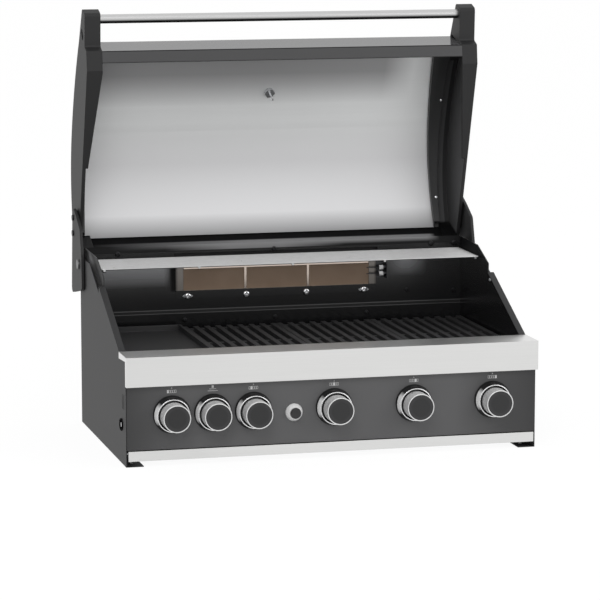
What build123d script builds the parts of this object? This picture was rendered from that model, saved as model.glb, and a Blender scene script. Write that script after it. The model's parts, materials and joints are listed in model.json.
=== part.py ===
from build123d import *
import os
from math import cos, radians, sin, sqrt, tan

os.makedirs("parts", exist_ok=True)

# Gas barbecue head with its lid open. X runs to the right, Y to the back, Z up, in millimetres.
# The origin is the middle of the four fixing holes, on the plane that the feet stand on.

# Casing of folded sheet
CASE_WIDTH = 838.0  # over the side panels
CASE_DEPTH = 486.0  # front to rear edge of a side panel
SIDE_TOP = 364.0  # level that the slope runs up to
SLOPE = 24.8  # lean of the joint between casing and lid, degrees
SHEET = 1.5
FOOT_FLANGE = 35.0
FOOT_HOLE_R = 4.5
FOOT_HOLE_INSET = 40.0  # from the front and rear edge
SLOPE_FLANGE = 13.0
FRONT_FLANGE = 16.0
SHOULDER = 14.0  # how far a side panel drops behind its slope
REAR_PANEL_DROP = 9.0  # below the level top of the sides
CASE_VENT = (3.0, 30.0)  # upright slot in a side panel
CASE_VENT_COUNT = 3
CASE_VENT_PITCH = 9.0
CASE_VENT_INSET = 17.0
CASE_VENT_Z = 126.0
KEY_SLOT = (16.0, 8.0)
KEY_SLOT_INSET = 41.0
KEY_SLOT_Z = 81.0
BACK_VENT = (60.0, 8.0)  # slot in the rear panel
BACK_VENT_COUNT = 8
BACK_VENT_PITCH = 90.0
BACK_VENT_Z = 150.0

# Stainless band and painted control panel
BAND_OVERHANG = 1.0
BAND_TOP = 219.0
BAND_HEIGHT = 58.6
BAND_DEPTH = 78.0
BAND_PROUD = 14.0  # face in front of the side panels
BAND_HEM = 12.0
PANEL_BOTTOM = 33.0
PANEL_RETURN = 22.0

# Firebox liner
LINER_INSET = 10.0  # outer face, from the side panel's outer face
LINER = 2.0
LINER_RISE = 4.0  # above the level that the slope runs up to
EAR_FROM_REAR = 130.0
EAR_DROP = 3.0
NOTCH_FROM_REAR = 208.0
NOTCH_RISE = 18.0  # above the slope
FIREBOX_BOTTOM = 70.0
REAR_GAP = 13.0  # rear wall to rear edge of the casing
JOGGLE = 3.0
JOGGLE_RISE = 24.0  # above the grates
JOGGLE_HEIGHT = 8.0
REAR_LIP_DROP = 12.0
REAR_SLOT = (444.0, 6.0)
REAR_SLOT_DROP = 8.0

# Cooking surfaces
GRATE_DROP = 19.0  # below the band
GRATE_HEIGHT = 14.0
GRATE_SETBACK = 5.5  # behind the front wall
GRATE_REAR_GAP = 23.5  # to the rear wall
GRATE_COUNT = 3
COOK_GAP = 7.0  # liner to the outermost plate
PLATE_GAP = 2.0
BAR_TOP = 11.0
BAR_FOOT = 8.0
BAR_COUNT = 9
RAIL = 12.0
RAIL_DROP = 4.0
GRIDDLE_WIDTH = 186.0
GRIDDLE_RISE = 5.0  # rim above the grates
GRIDDLE_RIM = 6.0
GRIDDLE_FLOOR = 8.0
DRAIN = (60.0, 12.0)
LEDGE_LEG = 14.0
LEDGE_FRONT = 20.0
LEDGE_REAR = 40.0

# Warming rack
RACK_SIDE_GAP = 5.0
RACK_DROP = 25.0  # below the liner's rear corner
RACK_DEPTH = 140.0
RACK_REAR_GAP = 2.0
ROD_R = 2.0
ROD_COUNT = 12
CROSS_R = 2.5
CROSS_COUNT = 5
CROSS_INSET = 3.0
RACK_SHELF = 2.0

# Burners and flame tamers
BURNER_COUNT = 5
BURNER_EDGE = 79.0  # outermost burner to the liner
BURNER_R = 17.0
BURNER_REST = 18.0  # ledge under a burner's rear tab
NECK_R = 13.0
NECK_LENGTH = 33.0
MOUTH_R = 9.0
MOUTH_DEPTH = 25.0
TAB = (24.0, 16.0, 2.5)
TAMER_DROP = 46.0  # below the grates' underside
TAMER_HALF = 50.0
TAMER_RISE = 34.0
TAMER_FOOT = 12.0
TAMER_REAR_GAP = 12.0
FIT = 0.3  # gap round a seated piece

# Gas train
MANIFOLD_R = 11.0
MANIFOLD_SETBACK = 26.0  # behind the control panel's rear face
MANIFOLD_DROP = 36.0  # below the knobs
BOSS_R = 8.0
INLET_R = 8.3
INLET_LENGTH = 20.0
INLET_NUT_R = 13.0
INLET_NUT = 14.0
INLET_HOLE_R = 18.0
INLET_RECESS = 3.0  # inside the side panel's outer face
VALVE = (28.0, 44.0, 29.0)
ROTOR_R = 7.0
ROTOR_LENGTH = 30.0
VALVE_FACE = 4.0
NOZZLE_R = 5.0
NOZZLE_LENGTH = 12.0
LINE_R = 3.0
LINE_BEND = 9.0
LINE_RISE = 16.0
LINE_HOLE_R = 6.0
SHAFT_FIT = 0.05

# Rear infrared burner
TILE = (134.5, 13.0, 48.0)
TILE_GAP = 2.0
TILE_COUNT = 3
TILE_DROP = 73.0  # below the liner's rear corner
FRAME_SIDE = 15.0
FRAME_TOP = 12.0
FRAME_BOTTOM = 17.0
FRAME_LAP = 1.5  # frame over the edge of a tile
FRAME_HOOD = 7.0
HOUSING_DEPTH = 43.0
IGNITER_REACH = 1.5
IGNITER_RISE = 7.0  # over the middle of the tiles
CERAMIC_R = 5.0
CERAMIC_LENGTH = 16.0
ELECTRODE_R = 1.0
ELECTRODE_LENGTH = 26.0
ELECTRODE_PITCH = 13.0

# Knobs, bezels and ignition button
KNOB_Z = 102.0
KNOB_STEPS = (-2.0, -1.5, -1.0, 0.0, 1.0, 2.0)  # in burner pitches from the middle
REAR_KNOB = 1  # the knob of the rear burner
KNOB_TRAVEL = 3.5
KNOB_R = 27.2
KNOB_CHAMFER = 0.6
KNOB_SKIRT_R = 29.0
KNOB_SKIRT = 7.0
KNOB_LENGTH = 45.5
KNOB_STANDOFF = 8.0
KNOB_FACE_R = 25.6
KNOB_DISH = 1.0
KNOB_MARK = (2.0, 7.0, 0.5)
STEM_R = 4.0
STEM_FLAT = 2.8
STEM_HOLE_R = 9.0
BEZEL_R = 37.5
BEZEL_EDGE = 2.0
BEZEL_BORE = 31.0
BEZEL_RIM = 1.8
BEZEL_HEIGHT = 20.0
BEZEL_FLOOR = 2.5
BUTTON_STEP = -0.5  # in burner pitches from the middle
BUTTON_Z = 95.0
BUTTON_TRAVEL = 4.0
BUTTON_R = 10.5
BUTTON_CHAMFER = 1.5
BUTTON_DISH = 1.0
BUTTON_STANDOFF = 6.0
BUTTON_LENGTH = 12.5
BUTTON_STEM_R = 4.0
BUTTON_STEM = 24.0
BUTTON_BEZEL_R = 17.5
BUTTON_BEZEL_EDGE = 1.5
BUTTON_BEZEL_RIM = 1.6
BUTTON_BEZEL = 13.0
MODULE = (34.0, 44.0, 34.0)

# Drip tray
TRAY_BOTTOM = 14.0
RUNNER = 17.0
RUNNER_Z = 28.0
TRAY_SIDE_GAP = 3.0
TRAY_REAR_GAP = 20.0
TRAY_FRONT = (2.0, 19.7)
TRAY_FRONT_INSET = 4.0  # end, from the side panel's outer face
TRAY_FRONT_BOTTOM = 11.9
TRAY_FRONT_PROUD = 4.0

# Hinge and lid, measured from the hinge axis: u runs forward along the lid's rim, v stands off the rim
HINGE_FROM_REAR = 24.0
HINGE_DROP = 26.0  # below the level top of a side panel
OPEN = 97.2  # degrees from closed to open
PIN_R = 6.0
PIN_HEAD_R = 10.0
PIN_HEAD = 3.5
RIM_GAP = 1.5
LID_GAP = 2.5  # over the band
LID_SETBACK = 41.0  # behind the band's face
LID_HEIGHT = 136.4  # rim to crown
APEX_U = 216.0
REAR_U = 7.0
REAR_HEIGHT = 62.4
BROW_HEIGHT = 85.0  # over the lid's front foot
BROW_LEAN = 11.0
BROW_FILLET = 12.0
SKIN = 1.2
SKIN_INSET = 1.0
SKIN_SPACE = 12.5  # crown to the inner skin
CAP_WIDTH = 33.0
CAP_WALL = 6.0
CAP_INSET = 2.0  # outer face, from the side panel's outer face
RIM_FLANGE = 12.0  # at its rear end; it fills the cap's width at the front
RIM_FLANGE_CLEAR_U = 14.0  # in front of the liner's ear
RIM_CLEAR = 1.5  # rim to liner
HANDLE_REACH = 60.0  # in front of the brow
HANDLE_DROP = 30.5
HANDLE_R = 9.5
HANDLE_WALL = 1.6
HORN_TIP = (18.0, 14.0)  # upper corner, in front of and above the handle's axis
HORN_UNDER = 17.0  # lower corner, below the handle's axis
HORN_FILLET = 8.0
CHIN = (1.5, 20.0)  # in front of and above the lid's foot
CHIN_FILLET = 5.0
POCKET = (26.0, 13.0, 6.0)  # in the outer side of the horn
POCKET_PLACE = (16.0, 53.0)  # in front of and above the lid's foot
POCKET_LEAN = 56.0
RAIL_EDGE = (11.0, 39.0)  # right rail's inner edge, from the end cap, at the rear and the front
LEFT_RAIL_EDGE = (-14.0, 12.0)  # the same for the left rail, which sits in the hollow of its end cap
RAIL_DEPTH = 12.0
BAR_SHEET = 2.0
BAR_FACE = 25.0
BAR_LEG = 26.0  # over the lid's front foot
LIP_HEIGHT = 5.0  # rear panel's lower edge above the rim
ARM_GAP = 1.5
ARM = 6.0
ARM_FILLET = 12.0
ARM_OUTLINE = ((88, 102), (84, 62), (74, 10), (31, -20), (-38, -46), (-95, 62))
ARM_PAD = ((80, 94), (76, 67), (22, 66), (22, 82))
ARM_BOLTS = ((68, 84), (36, 76))
BOLT_R = 6.0
BOLT_HEAD = 3.0

# Thermometer in the lid
DIAL_U = 306.0
DIAL_R = 35.0
DIAL_HEIGHT = 14.0
DIAL_RIM = 3.0
DIAL_WELL = 7.0
DIAL_NECK_R = 7.0
GLASS = 2.0
NUT_R = 11.0
NUT = 7.0
PROBE_R = 1.8
PROBE_LENGTH = 34.0
POINTER = (3.0, 24.0, 1.2)
POINTER_TIP = 0.6
POINTER_TAIL = 9.0
POINTER_HUB_R = 3.5
POINTER_REST = 135.0  # when cold, degrees anticlockwise from the top of the dial
ARBOR_R = 1.5

# Places that follow from the sizes above
XS = CASE_WIDTH / 2
YF, YR = -CASE_DEPTH / 2, CASE_DEPTH / 2
XB = XS + BAND_OVERHANG
BAND_BOTTOM = BAND_TOP - BAND_HEIGHT
BAND_FRONT = YF - BAND_PROUD
BAND_BACK = BAND_FRONT + BAND_DEPTH
DECK = BAND_TOP - SHEET
PANEL_FACE = YF - SHEET
SLOPE_Y = BAND_BACK + SHEET
SLOPE_END = SLOPE_Y + (SIDE_TOP - BAND_TOP) / tan(radians(SLOPE))
LINER_OUT = XS - LINER_INSET
LINER_IN = LINER_OUT - LINER
LINER_TOP = SIDE_TOP + LINER_RISE
NOTCH_Y = YR - NOTCH_FROM_REAR
FRONT_WALL = BAND_BACK + SHEET  # inner face of the front wall
REAR_WALL = YR - REAR_GAP  # back face of the rear wall's lower part
REAR_INNER = REAR_WALL - SHEET
BURNER_WALL = REAR_WALL + JOGGLE  # back face of the rear wall's upper part
GRATE_TOP = BAND_TOP - GRATE_DROP
GRATE_BOTTOM = GRATE_TOP - GRATE_HEIGHT
GRATE_FRONT = FRONT_WALL + GRATE_SETBACK
GRATE_REAR = REAR_INNER - GRATE_REAR_GAP
COOK_HALF = LINER_IN - COOK_GAP
GRATE_WIDTH = (2 * COOK_HALF - GRIDDLE_WIDTH) / GRATE_COUNT - PLATE_GAP
JOGGLE_Z = GRATE_TOP + JOGGLE_RISE
RACK_HALF = LINER_IN - RACK_SIDE_GAP
RACK_Z = LINER_TOP - RACK_DROP
RACK_BACK = BURNER_WALL - SHEET - RACK_REAR_GAP
RACK_FRONT = RACK_BACK - RACK_DEPTH
BURNER_PITCH = 2 * (LINER_IN - BURNER_EDGE) / (BURNER_COUNT - 1)
BURNER_XS = [(i - (BURNER_COUNT - 1) / 2) * BURNER_PITCH for i in range(BURNER_COUNT)]
BURNER_FRONT = FRONT_WALL + NECK_LENGTH / 2
TAMER_Z = GRATE_BOTTOM - TAMER_DROP
KNOB_XS = [step * BURNER_PITCH for step in KNOB_STEPS]
BUTTON_X = BUTTON_STEP * BURNER_PITCH
VALVE_BOTTOM = KNOB_Z - VALVE[2] / 2
TILE_Z = LINER_TOP - TILE_DROP
TILES_HALF = (TILE_COUNT * TILE[0] + (TILE_COUNT - 1) * TILE_GAP) / 2
HOUSING_HALF = TILES_HALF + FRAME_SIDE
HOUSING_LOW = TILE_Z - TILE[2] / 2 - FRAME_BOTTOM
HOUSING_HIGH = TILE_Z + TILE[2] / 2 + FRAME_TOP
LINE_BACK = (BURNER_WALL + YR - SHEET) / 2  # between rear wall and rear panel
MANIFOLD_Y = YF + MANIFOLD_SETBACK
MANIFOLD_Z = KNOB_Z - MANIFOLD_DROP
VALVE_BACK = YF + VALVE[1]
HINGE_Y = YR - HINGE_FROM_REAR
HINGE_Z = SIDE_TOP - HINGE_DROP
TRAY_FACE = YF - TRAY_FRONT_PROUD
TRAY_HALF = XS - SHEET - RUNNER - TRAY_SIDE_GAP
CAP_OUT = XS - CAP_INSET
CAP_IN = CAP_OUT - CAP_WIDTH
CAVITY_X = CAP_OUT - CAP_WALL - FIT  # how far a piece may reach into the hollow of an end cap
CAVITY_U = REAR_U + CAP_WALL
ARM_IN = XS + ARM_GAP
ARM_OUT = ARM_IN + ARM


def block(x, y, z):
    """Box between two bounds along each axis."""
    spans = (x, y, z)
    size = [high - low for low, high in spans]
    middle = [(low + high) / 2 for low, high in spans]
    return Pos(*middle) * Box(*size)


def polygon(*points):
    return make_face(Polyline(*points, close=True))


def side_prism(outline, low, high):
    """Solid with a side outline, drawn in (y, z), between two X planes."""
    plane = Plane(origin=(low, 0, 0), x_dir=(0, 1, 0), z_dir=(1, 0, 0))
    return extrude(plane * outline, amount=high - low)


def front_prism(outline, low, high):
    """Solid with a front outline, drawn in (x, z), between two Y planes."""
    plane = Plane(origin=(0, high, 0), x_dir=(1, 0, 0), z_dir=(0, -1, 0))
    return extrude(plane * outline, amount=high - low)


def pin(start, axis, radius, length):
    return Solid.make_cylinder(radius, length, Plane(origin=start, z_dir=axis))


def folded(points, thickness):
    """Face of a folded sheet: a line with sharp bends, thickened to its left."""
    steps = [Vector(*end) - Vector(*start) for start, end in zip(points, points[1:])]
    normals = [Vector(-step.Y, step.X).normalized() for step in steps]
    far = []
    for point, before, after in zip(points, normals[:1] + normals, normals + normals[-1:]):
        shift = (before + after) * (thickness / (1 + before.dot(after)))
        far.append((point[0] + shift.X, point[1] + shift.Y))
    return polygon(*points, *far[::-1])


def turned(profile, x, y, z):
    """Solid of revolution on an axis towards the front: (radius, distance in front of y)."""
    plane = Plane(origin=(x, y, z), x_dir=(1, 0, 0), z_dir=(0, -1, 0))
    return plane * revolve(Plane.XZ * polygon(*profile), Axis.Z)


def mirrored(shape):
    return mirror(shape, about=Plane.YZ)


def slope_z(y):
    return BAND_TOP + (y - SLOPE_Y) * tan(radians(SLOPE))


def lid_uv(y, z):
    """Place in the closed casing as (u, v) of the lid."""
    dy, dz = y - HINGE_Y, z - HINGE_Z
    lean = radians(SLOPE)
    return -dy * cos(lean) - dz * sin(lean), dz * cos(lean) - dy * sin(lean)


def flat(u, v):
    """Place in the lid as (y, z) of the lid lying level with the hinge axis at the origin."""
    return -u, v


def opened(shape):
    """Level lid piece, set on the hinge and swung open."""
    return Pos(0, HINGE_Y, HINGE_Z) * Rot(SLOPE - OPEN, 0, 0) * shape


def save(name, *shapes):
    solids = [solid for shape in shapes for solid in shape.solids()]
    export_step(solids[0] if len(solids) == 1 else Compound(solids), f"parts/{name}.step")


# Casing

def side_panel():
    """Right side panel: foot, front and sloped top flange turned in, and a shoulder behind the slope."""
    corner = (NOTCH_Y, slope_z(NOTCH_Y))
    outline = polygon((YF, 0), (YR, 0), (YR, SIDE_TOP - SHOULDER), (SLOPE_END, SIDE_TOP - SHOULDER),
                      (NOTCH_Y, corner[1] - SHOULDER), corner, (SLOPE_Y, BAND_TOP), (SLOPE_Y, DECK),
                      (YF, DECK))
    panel = side_prism(outline, XS - SHEET, XS)
    top = side_prism(folded([corner, (SLOPE_Y, BAND_TOP)], SHEET), XS - SLOPE_FLANGE, XS - SHEET)
    foot = block((XS - FOOT_FLANGE, XS - SHEET), (YF, YR), (0, SHEET))
    for y in (YF + FOOT_HOLE_INSET, YR - FOOT_HOLE_INSET):
        foot -= pin((XS - FOOT_FLANGE / 2, y, 0), (0, 0, 1), FOOT_HOLE_R, SHEET)
    front = block((XS - FRONT_FLANGE, XS - SHEET), (YF, YF + SHEET), (PANEL_BOTTOM, BAND_BOTTOM))
    panel = panel + top + foot + front
    panel -= pin((XS - SHEET, HINGE_Y, HINGE_Z), (1, 0, 0), PIN_R, SHEET)
    for i in range(CASE_VENT_COUNT):
        y = YF + CASE_VENT_INSET + i * CASE_VENT_PITCH
        slot = Pos(y, CASE_VENT_Z) * SlotOverall(CASE_VENT[1], CASE_VENT[0], rotation=90)
        panel -= side_prism(slot, XS - SHEET, XS)
    key = Pos(YF + KEY_SLOT_INSET, KEY_SLOT_Z) * SlotOverall(*KEY_SLOT, rotation=90)
    return panel - side_prism(key, XS - SHEET, XS)


def rear_panel():
    top = SIDE_TOP - REAR_PANEL_DROP
    panel = block((-XS + SHEET, XS - SHEET), (YR - SHEET, YR), (SHEET, top))
    panel -= block((-HOUSING_HALF, HOUSING_HALF), (YR - SHEET, YR), (HOUSING_LOW, HOUSING_HIGH))
    first = -BACK_VENT_PITCH * (BACK_VENT_COUNT - 1) / 2
    for i in range(BACK_VENT_COUNT):
        slot = Pos(first + i * BACK_VENT_PITCH, BACK_VENT_Z) * SlotOverall(*BACK_VENT)
        panel -= front_prism(slot, YR - SHEET, YR)
    return panel


def front_band():
    """Stainless band: face, top and bottom return, closed ends and a hem along its back edge."""
    line = [(BAND_BACK, BAND_TOP), (BAND_FRONT, BAND_TOP), (BAND_FRONT, BAND_BOTTOM), (YF, BAND_BOTTOM)]
    band = side_prism(folded(line, SHEET), -XB, XB)
    end = block((XB - SHEET, XB), (BAND_FRONT + SHEET, YF), (BAND_BOTTOM + SHEET, DECK))
    hem = block((-LINER_IN, LINER_IN), (BAND_BACK - SHEET, BAND_BACK), (DECK - BAND_HEM, DECK))
    return band + end + mirrored(end) + hem


def control_panel():
    half, inner = XS - SHEET, XS - FRONT_FLANGE - FIT
    panel = block((-half, half), (PANEL_FACE, YF), (PANEL_BOTTOM, BAND_BOTTOM))
    panel += block((-inner, inner), (YF, YF + PANEL_RETURN), (BAND_BOTTOM - SHEET, BAND_BOTTOM))
    panel += block((-inner, inner), (YF, YF + PANEL_RETURN), (PANEL_BOTTOM, PANEL_BOTTOM + SHEET))
    for x in KNOB_XS:
        panel -= pin((x, PANEL_FACE, KNOB_Z), (0, 1, 0), STEM_HOLE_R, SHEET)
    return panel - pin((BUTTON_X, PANEL_FACE, BUTTON_Z), (0, 1, 0), BUTTON_STEM_R + FIT, SHEET)


# Firebox

def liner():
    """Right firebox wall, which stands above the casing's slope at its rear."""
    drop = SHEET / cos(radians(SLOPE))
    ear = NOTCH_Y + SHEET
    outline = polygon((FRONT_WALL, FIREBOX_BOTTOM), (YR - SHEET, FIREBOX_BOTTOM), (YR - SHEET, LINER_TOP),
                      (YR - EAR_FROM_REAR, LINER_TOP - EAR_DROP), (ear, slope_z(ear) + NOTCH_RISE),
                      (ear, slope_z(ear) - drop), (FRONT_WALL, slope_z(FRONT_WALL) - drop))
    return side_prism(outline, LINER_IN, LINER_OUT)


def front_wall():
    wall = block((-LINER_OUT, LINER_OUT), (BAND_BACK, FRONT_WALL), (FIREBOX_BOTTOM, DECK))
    for x in BURNER_XS:
        wall -= pin((x, BAND_BACK, KNOB_Z), (0, 1, 0), NECK_R + FIT, SHEET)
    return wall


def rear_wall():
    """Rear firebox wall with a joggle, a lip leaning back, a slot and the rear burner's window."""
    lip = LINER_TOP - REAR_LIP_DROP
    line = [(REAR_WALL, FIREBOX_BOTTOM), (REAR_WALL, JOGGLE_Z), (BURNER_WALL, JOGGLE_Z + JOGGLE_HEIGHT),
            (BURNER_WALL, lip), (YR - SHEET, LINER_TOP)]
    wall = side_prism(folded(line, SHEET), -LINER_IN, LINER_IN)
    span = (REAR_WALL - SHEET, BURNER_WALL)
    window = (TILES_HALF + FIT, TILE[2] / 2 + FIT)
    wall -= block((-window[0], window[0]), span, (TILE_Z - window[1], TILE_Z + window[1]))
    slot = Pos(0, lip - REAR_SLOT_DROP) * SlotOverall(*REAR_SLOT)
    return wall - front_prism(slot, *span)


def front_ledge(z, depth):
    line = [(FRONT_WALL + depth, z), (FRONT_WALL, z), (FRONT_WALL, z - LEDGE_LEG)]
    return side_prism(folded(line, SHEET), -LINER_IN, LINER_IN)


def rear_ledge(z, depth):
    line = [(REAR_INNER, z - LEDGE_LEG), (REAR_INNER, z), (REAR_INNER - depth, z)]
    return side_prism(folded(line, SHEET), -LINER_IN, LINER_IN)


def rack_shelf():
    x = (RACK_HALF - CROSS_INSET - CROSS_R * 2, LINER_IN)
    top = RACK_Z - ROD_R - CROSS_R
    return block(x, (RACK_FRONT, RACK_BACK), (top - RACK_SHELF, top))


def grate(low, high):
    """Cast grate: tapered bars from front to back on three cross rails."""
    pitch = (high - low - BAR_TOP) / (BAR_COUNT - 1)
    bars = []
    for i in range(BAR_COUNT):
        x = low + BAR_TOP / 2 + i * pitch
        outline = polygon((x - BAR_FOOT / 2, GRATE_BOTTOM), (x + BAR_FOOT / 2, GRATE_BOTTOM),
                          (x + BAR_TOP / 2, GRATE_TOP), (x - BAR_TOP / 2, GRATE_TOP))
        bars.append(front_prism(outline, GRATE_FRONT, GRATE_REAR))
    edge = BAR_TOP / 2 - BAR_FOOT / 2
    rails = []
    for y in (GRATE_FRONT, (GRATE_FRONT + GRATE_REAR - RAIL) / 2, GRATE_REAR - RAIL):
        rails.append(block((low + edge, high - edge), (y, y + RAIL), (GRATE_BOTTOM, GRATE_TOP - RAIL_DROP)))
    return bars[0] + bars[1:] + rails


def griddle():
    low, high = -COOK_HALF, -COOK_HALF + GRIDDLE_WIDTH
    top = GRATE_TOP + GRIDDLE_RISE
    plate = block((low, high), (GRATE_FRONT, GRATE_REAR), (GRATE_BOTTOM, top))
    inner_x = (low + GRIDDLE_RIM, high - GRIDDLE_RIM)
    inner_y = (GRATE_FRONT + GRIDDLE_RIM, GRATE_REAR - GRIDDLE_RIM)
    plate -= block(inner_x, inner_y, (GRATE_BOTTOM + GRIDDLE_FLOOR, top))
    drain = Pos((low + high) / 2, FRONT_WALL + LEDGE_FRONT + DRAIN[1], GRATE_BOTTOM)
    return plate - drain * extrude(SlotOverall(*DRAIN), amount=GRIDDLE_FLOOR)


def warming_rack():
    """Rods along X, welded on cross wires that rest on the shelves."""
    pitch = (RACK_DEPTH - 2 * ROD_R) / (ROD_COUNT - 1)
    rods = [pin((-RACK_HALF, RACK_FRONT + ROD_R + i * pitch, RACK_Z), (1, 0, 0), ROD_R, 2 * RACK_HALF)
            for i in range(ROD_COUNT)]
    half = RACK_HALF - CROSS_INSET - CROSS_R
    wires = []
    for i in range(CROSS_COUNT):
        x = -half + 2 * half * i / (CROSS_COUNT - 1)
        wires.append(pin((x, RACK_FRONT, RACK_Z - ROD_R), (0, 1, 0), CROSS_R, RACK_DEPTH))
    return rods[0] + rods[1:] + wires


def main_burner(x):
    """Tube burner: neck with an open mouth at the front, a tab at the rear."""
    front = BURNER_FRONT
    neck = pin((x, front - NECK_LENGTH, KNOB_Z), (0, 1, 0), NECK_R, NECK_LENGTH)
    end = REAR_INNER - BURNER_REST - FIT
    tube = pin((x, front, KNOB_Z), (0, 1, 0), BURNER_R, end - front)
    mouth = pin((x, front - NECK_LENGTH, KNOB_Z), (0, 1, 0), MOUTH_R, MOUTH_DEPTH)
    tab = block((x - TAB[0] / 2, x + TAB[0] / 2), (end, end + TAB[1]), (KNOB_Z - TAB[2], KNOB_Z))
    return neck + tube + tab - mouth


def flame_tamer(x):
    line = [(x - TAMER_HALF - TAMER_FOOT, TAMER_Z), (x - TAMER_HALF, TAMER_Z), (x, TAMER_Z + TAMER_RISE),
            (x + TAMER_HALF, TAMER_Z), (x + TAMER_HALF + TAMER_FOOT, TAMER_Z)]
    return front_prism(folded(line, SHEET), GRATE_FRONT, REAR_INNER - TAMER_REAR_GAP)


# Gas train

def gas_manifold():
    """Pipe along the control panel with a boss under each valve and an inlet at its right end."""
    start = KNOB_XS[0] - BOSS_R * 2
    tip = XS - INLET_RECESS
    nut = tip - INLET_LENGTH
    pipe = pin((start, MANIFOLD_Y, MANIFOLD_Z), (1, 0, 0), MANIFOLD_R, nut - start)
    for x in KNOB_XS:
        pipe += pin((x, MANIFOLD_Y, MANIFOLD_Z), (0, 0, 1), BOSS_R, VALVE_BOTTOM - MANIFOLD_Z)
    nut_plane = Plane(origin=(nut - INLET_NUT, MANIFOLD_Y, MANIFOLD_Z), z_dir=(1, 0, 0))
    pipe += extrude(nut_plane * RegularPolygon(INLET_NUT_R, 6), amount=INLET_NUT)
    return pipe + pin((nut, MANIFOLD_Y, MANIFOLD_Z), (1, 0, 0), INLET_R, INLET_LENGTH)


def valve_body(x, has_nozzle):
    half = VALVE[0] / 2
    body = block((x - half, x + half), (YF, VALVE_BACK), (VALVE_BOTTOM, VALVE_BOTTOM + VALVE[2]))
    body -= pin((x, YF + VALVE_FACE, KNOB_Z), (0, 1, 0), ROTOR_R, ROTOR_LENGTH)
    body -= pin((x, YF, KNOB_Z), (0, 1, 0), STEM_R + FIT, VALVE_FACE)
    if has_nozzle:
        body += pin((x, VALVE_BACK, KNOB_Z), (0, 1, 0), NOZZLE_R, NOZZLE_LENGTH)
    return body


def stem_section(x, clearance):
    """Round stem with a flat on its upper side, as a front outline."""
    top = STEM_FLAT + clearance
    radius = STEM_R + clearance
    section = Circle(radius) - Pos(0, top + radius) * Rectangle(2 * radius, 2 * radius)
    return Pos(x, KNOB_Z) * section


def valve_rotor(x):
    start = YF + VALVE_FACE + FIT
    length = ROTOR_LENGTH - 2 * FIT
    rotor = pin((x, start, KNOB_Z), (0, 1, 0), ROTOR_R - SHAFT_FIT, length)
    return rotor - front_prism(stem_section(x, SHAFT_FIT), start, start + length)


def rear_gas_line():
    """Pipe from the rear burner's valve, between side panel and liner, to the burner's left end."""
    x = KNOB_XS[REAR_KNOB]
    top = VALVE_BOTTOM + VALVE[2]
    side = -(LINER_OUT + XS - SHEET) / 2
    run = top + LINE_RISE
    route = [(x, MANIFOLD_Y, top), (x, MANIFOLD_Y, run), (side, MANIFOLD_Y, run), (side, LINE_BACK, run),
             (side, LINE_BACK, TILE_Z), (-HOUSING_HALF, LINE_BACK, TILE_Z)]
    path = FilletPolyline(*route, radius=LINE_BEND)
    return sweep(Plane(origin=route[0], z_dir=(0, 0, 1)) * Circle(LINE_R), path=path)


# Rear burner

def rear_burner_housing():
    """Open-fronted box behind the rear wall."""
    depth = (BURNER_WALL, BURNER_WALL + HOUSING_DEPTH)
    box = block((-HOUSING_HALF, HOUSING_HALF), depth, (HOUSING_LOW, HOUSING_HIGH))
    inner = HOUSING_HALF - SHEET
    height = (HOUSING_LOW + SHEET, HOUSING_HIGH - SHEET)
    return box - block((-inner, inner), (depth[0], depth[1] - SHEET), height)


def rear_burner_tiles():
    front = BURNER_WALL - SHEET
    pitch = TILE[0] + TILE_GAP
    tiles = []
    for i in range(TILE_COUNT):
        x = (i - (TILE_COUNT - 1) / 2) * pitch
        tiles.append(block((x - TILE[0] / 2, x + TILE[0] / 2), (front, front + TILE[1]),
                           (TILE_Z - TILE[2] / 2, TILE_Z + TILE[2] / 2)))
    return tiles


def rear_burner_frame():
    """Sheet frame in front of the rear wall with a window for each tile and a hood along its top."""
    back = BURNER_WALL - SHEET
    width = (-HOUSING_HALF, HOUSING_HALF)
    frame = block(width, (back - SHEET, back), (HOUSING_LOW, HOUSING_HIGH))
    frame += block(width, (back - FRAME_HOOD, back), (HOUSING_HIGH - SHEET, HOUSING_HIGH))
    half_x, half_z = TILE[0] / 2 - FRAME_LAP, TILE[2] / 2 - FRAME_LAP
    for i in range(TILE_COUNT):
        x = (i - (TILE_COUNT - 1) / 2) * (TILE[0] + TILE_GAP)
        frame -= block((x - half_x, x + half_x), (back - SHEET, back), (TILE_Z - half_z, TILE_Z + half_z))
    return frame


def rear_igniter():
    """Bracket beside the rear burner with two ceramic insulators and their electrodes."""
    wall = BURNER_WALL - SHEET
    x = HOUSING_HALF + IGNITER_REACH + CERAMIC_LENGTH
    y = wall - FRAME_HOOD - CERAMIC_R
    middle = TILE_Z + IGNITER_RISE
    height = (middle - ELECTRODE_PITCH / 2 - 2 * CERAMIC_R, middle + ELECTRODE_PITCH / 2 + 2 * CERAMIC_R)
    bracket = block((x, x + SHEET), (y - 2 * CERAMIC_R, wall), height)
    bracket += block((HOUSING_HALF + FIT, x), (wall - SHEET, wall), height)
    for z in (middle - ELECTRODE_PITCH / 2, middle + ELECTRODE_PITCH / 2):
        bracket += pin((x, y, z), (-1, 0, 0), CERAMIC_R, CERAMIC_LENGTH)
        bracket += pin((x - CERAMIC_LENGTH, y, z), (-1, 0, 0), ELECTRODE_R, ELECTRODE_LENGTH)
    return bracket


# Controls

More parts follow.
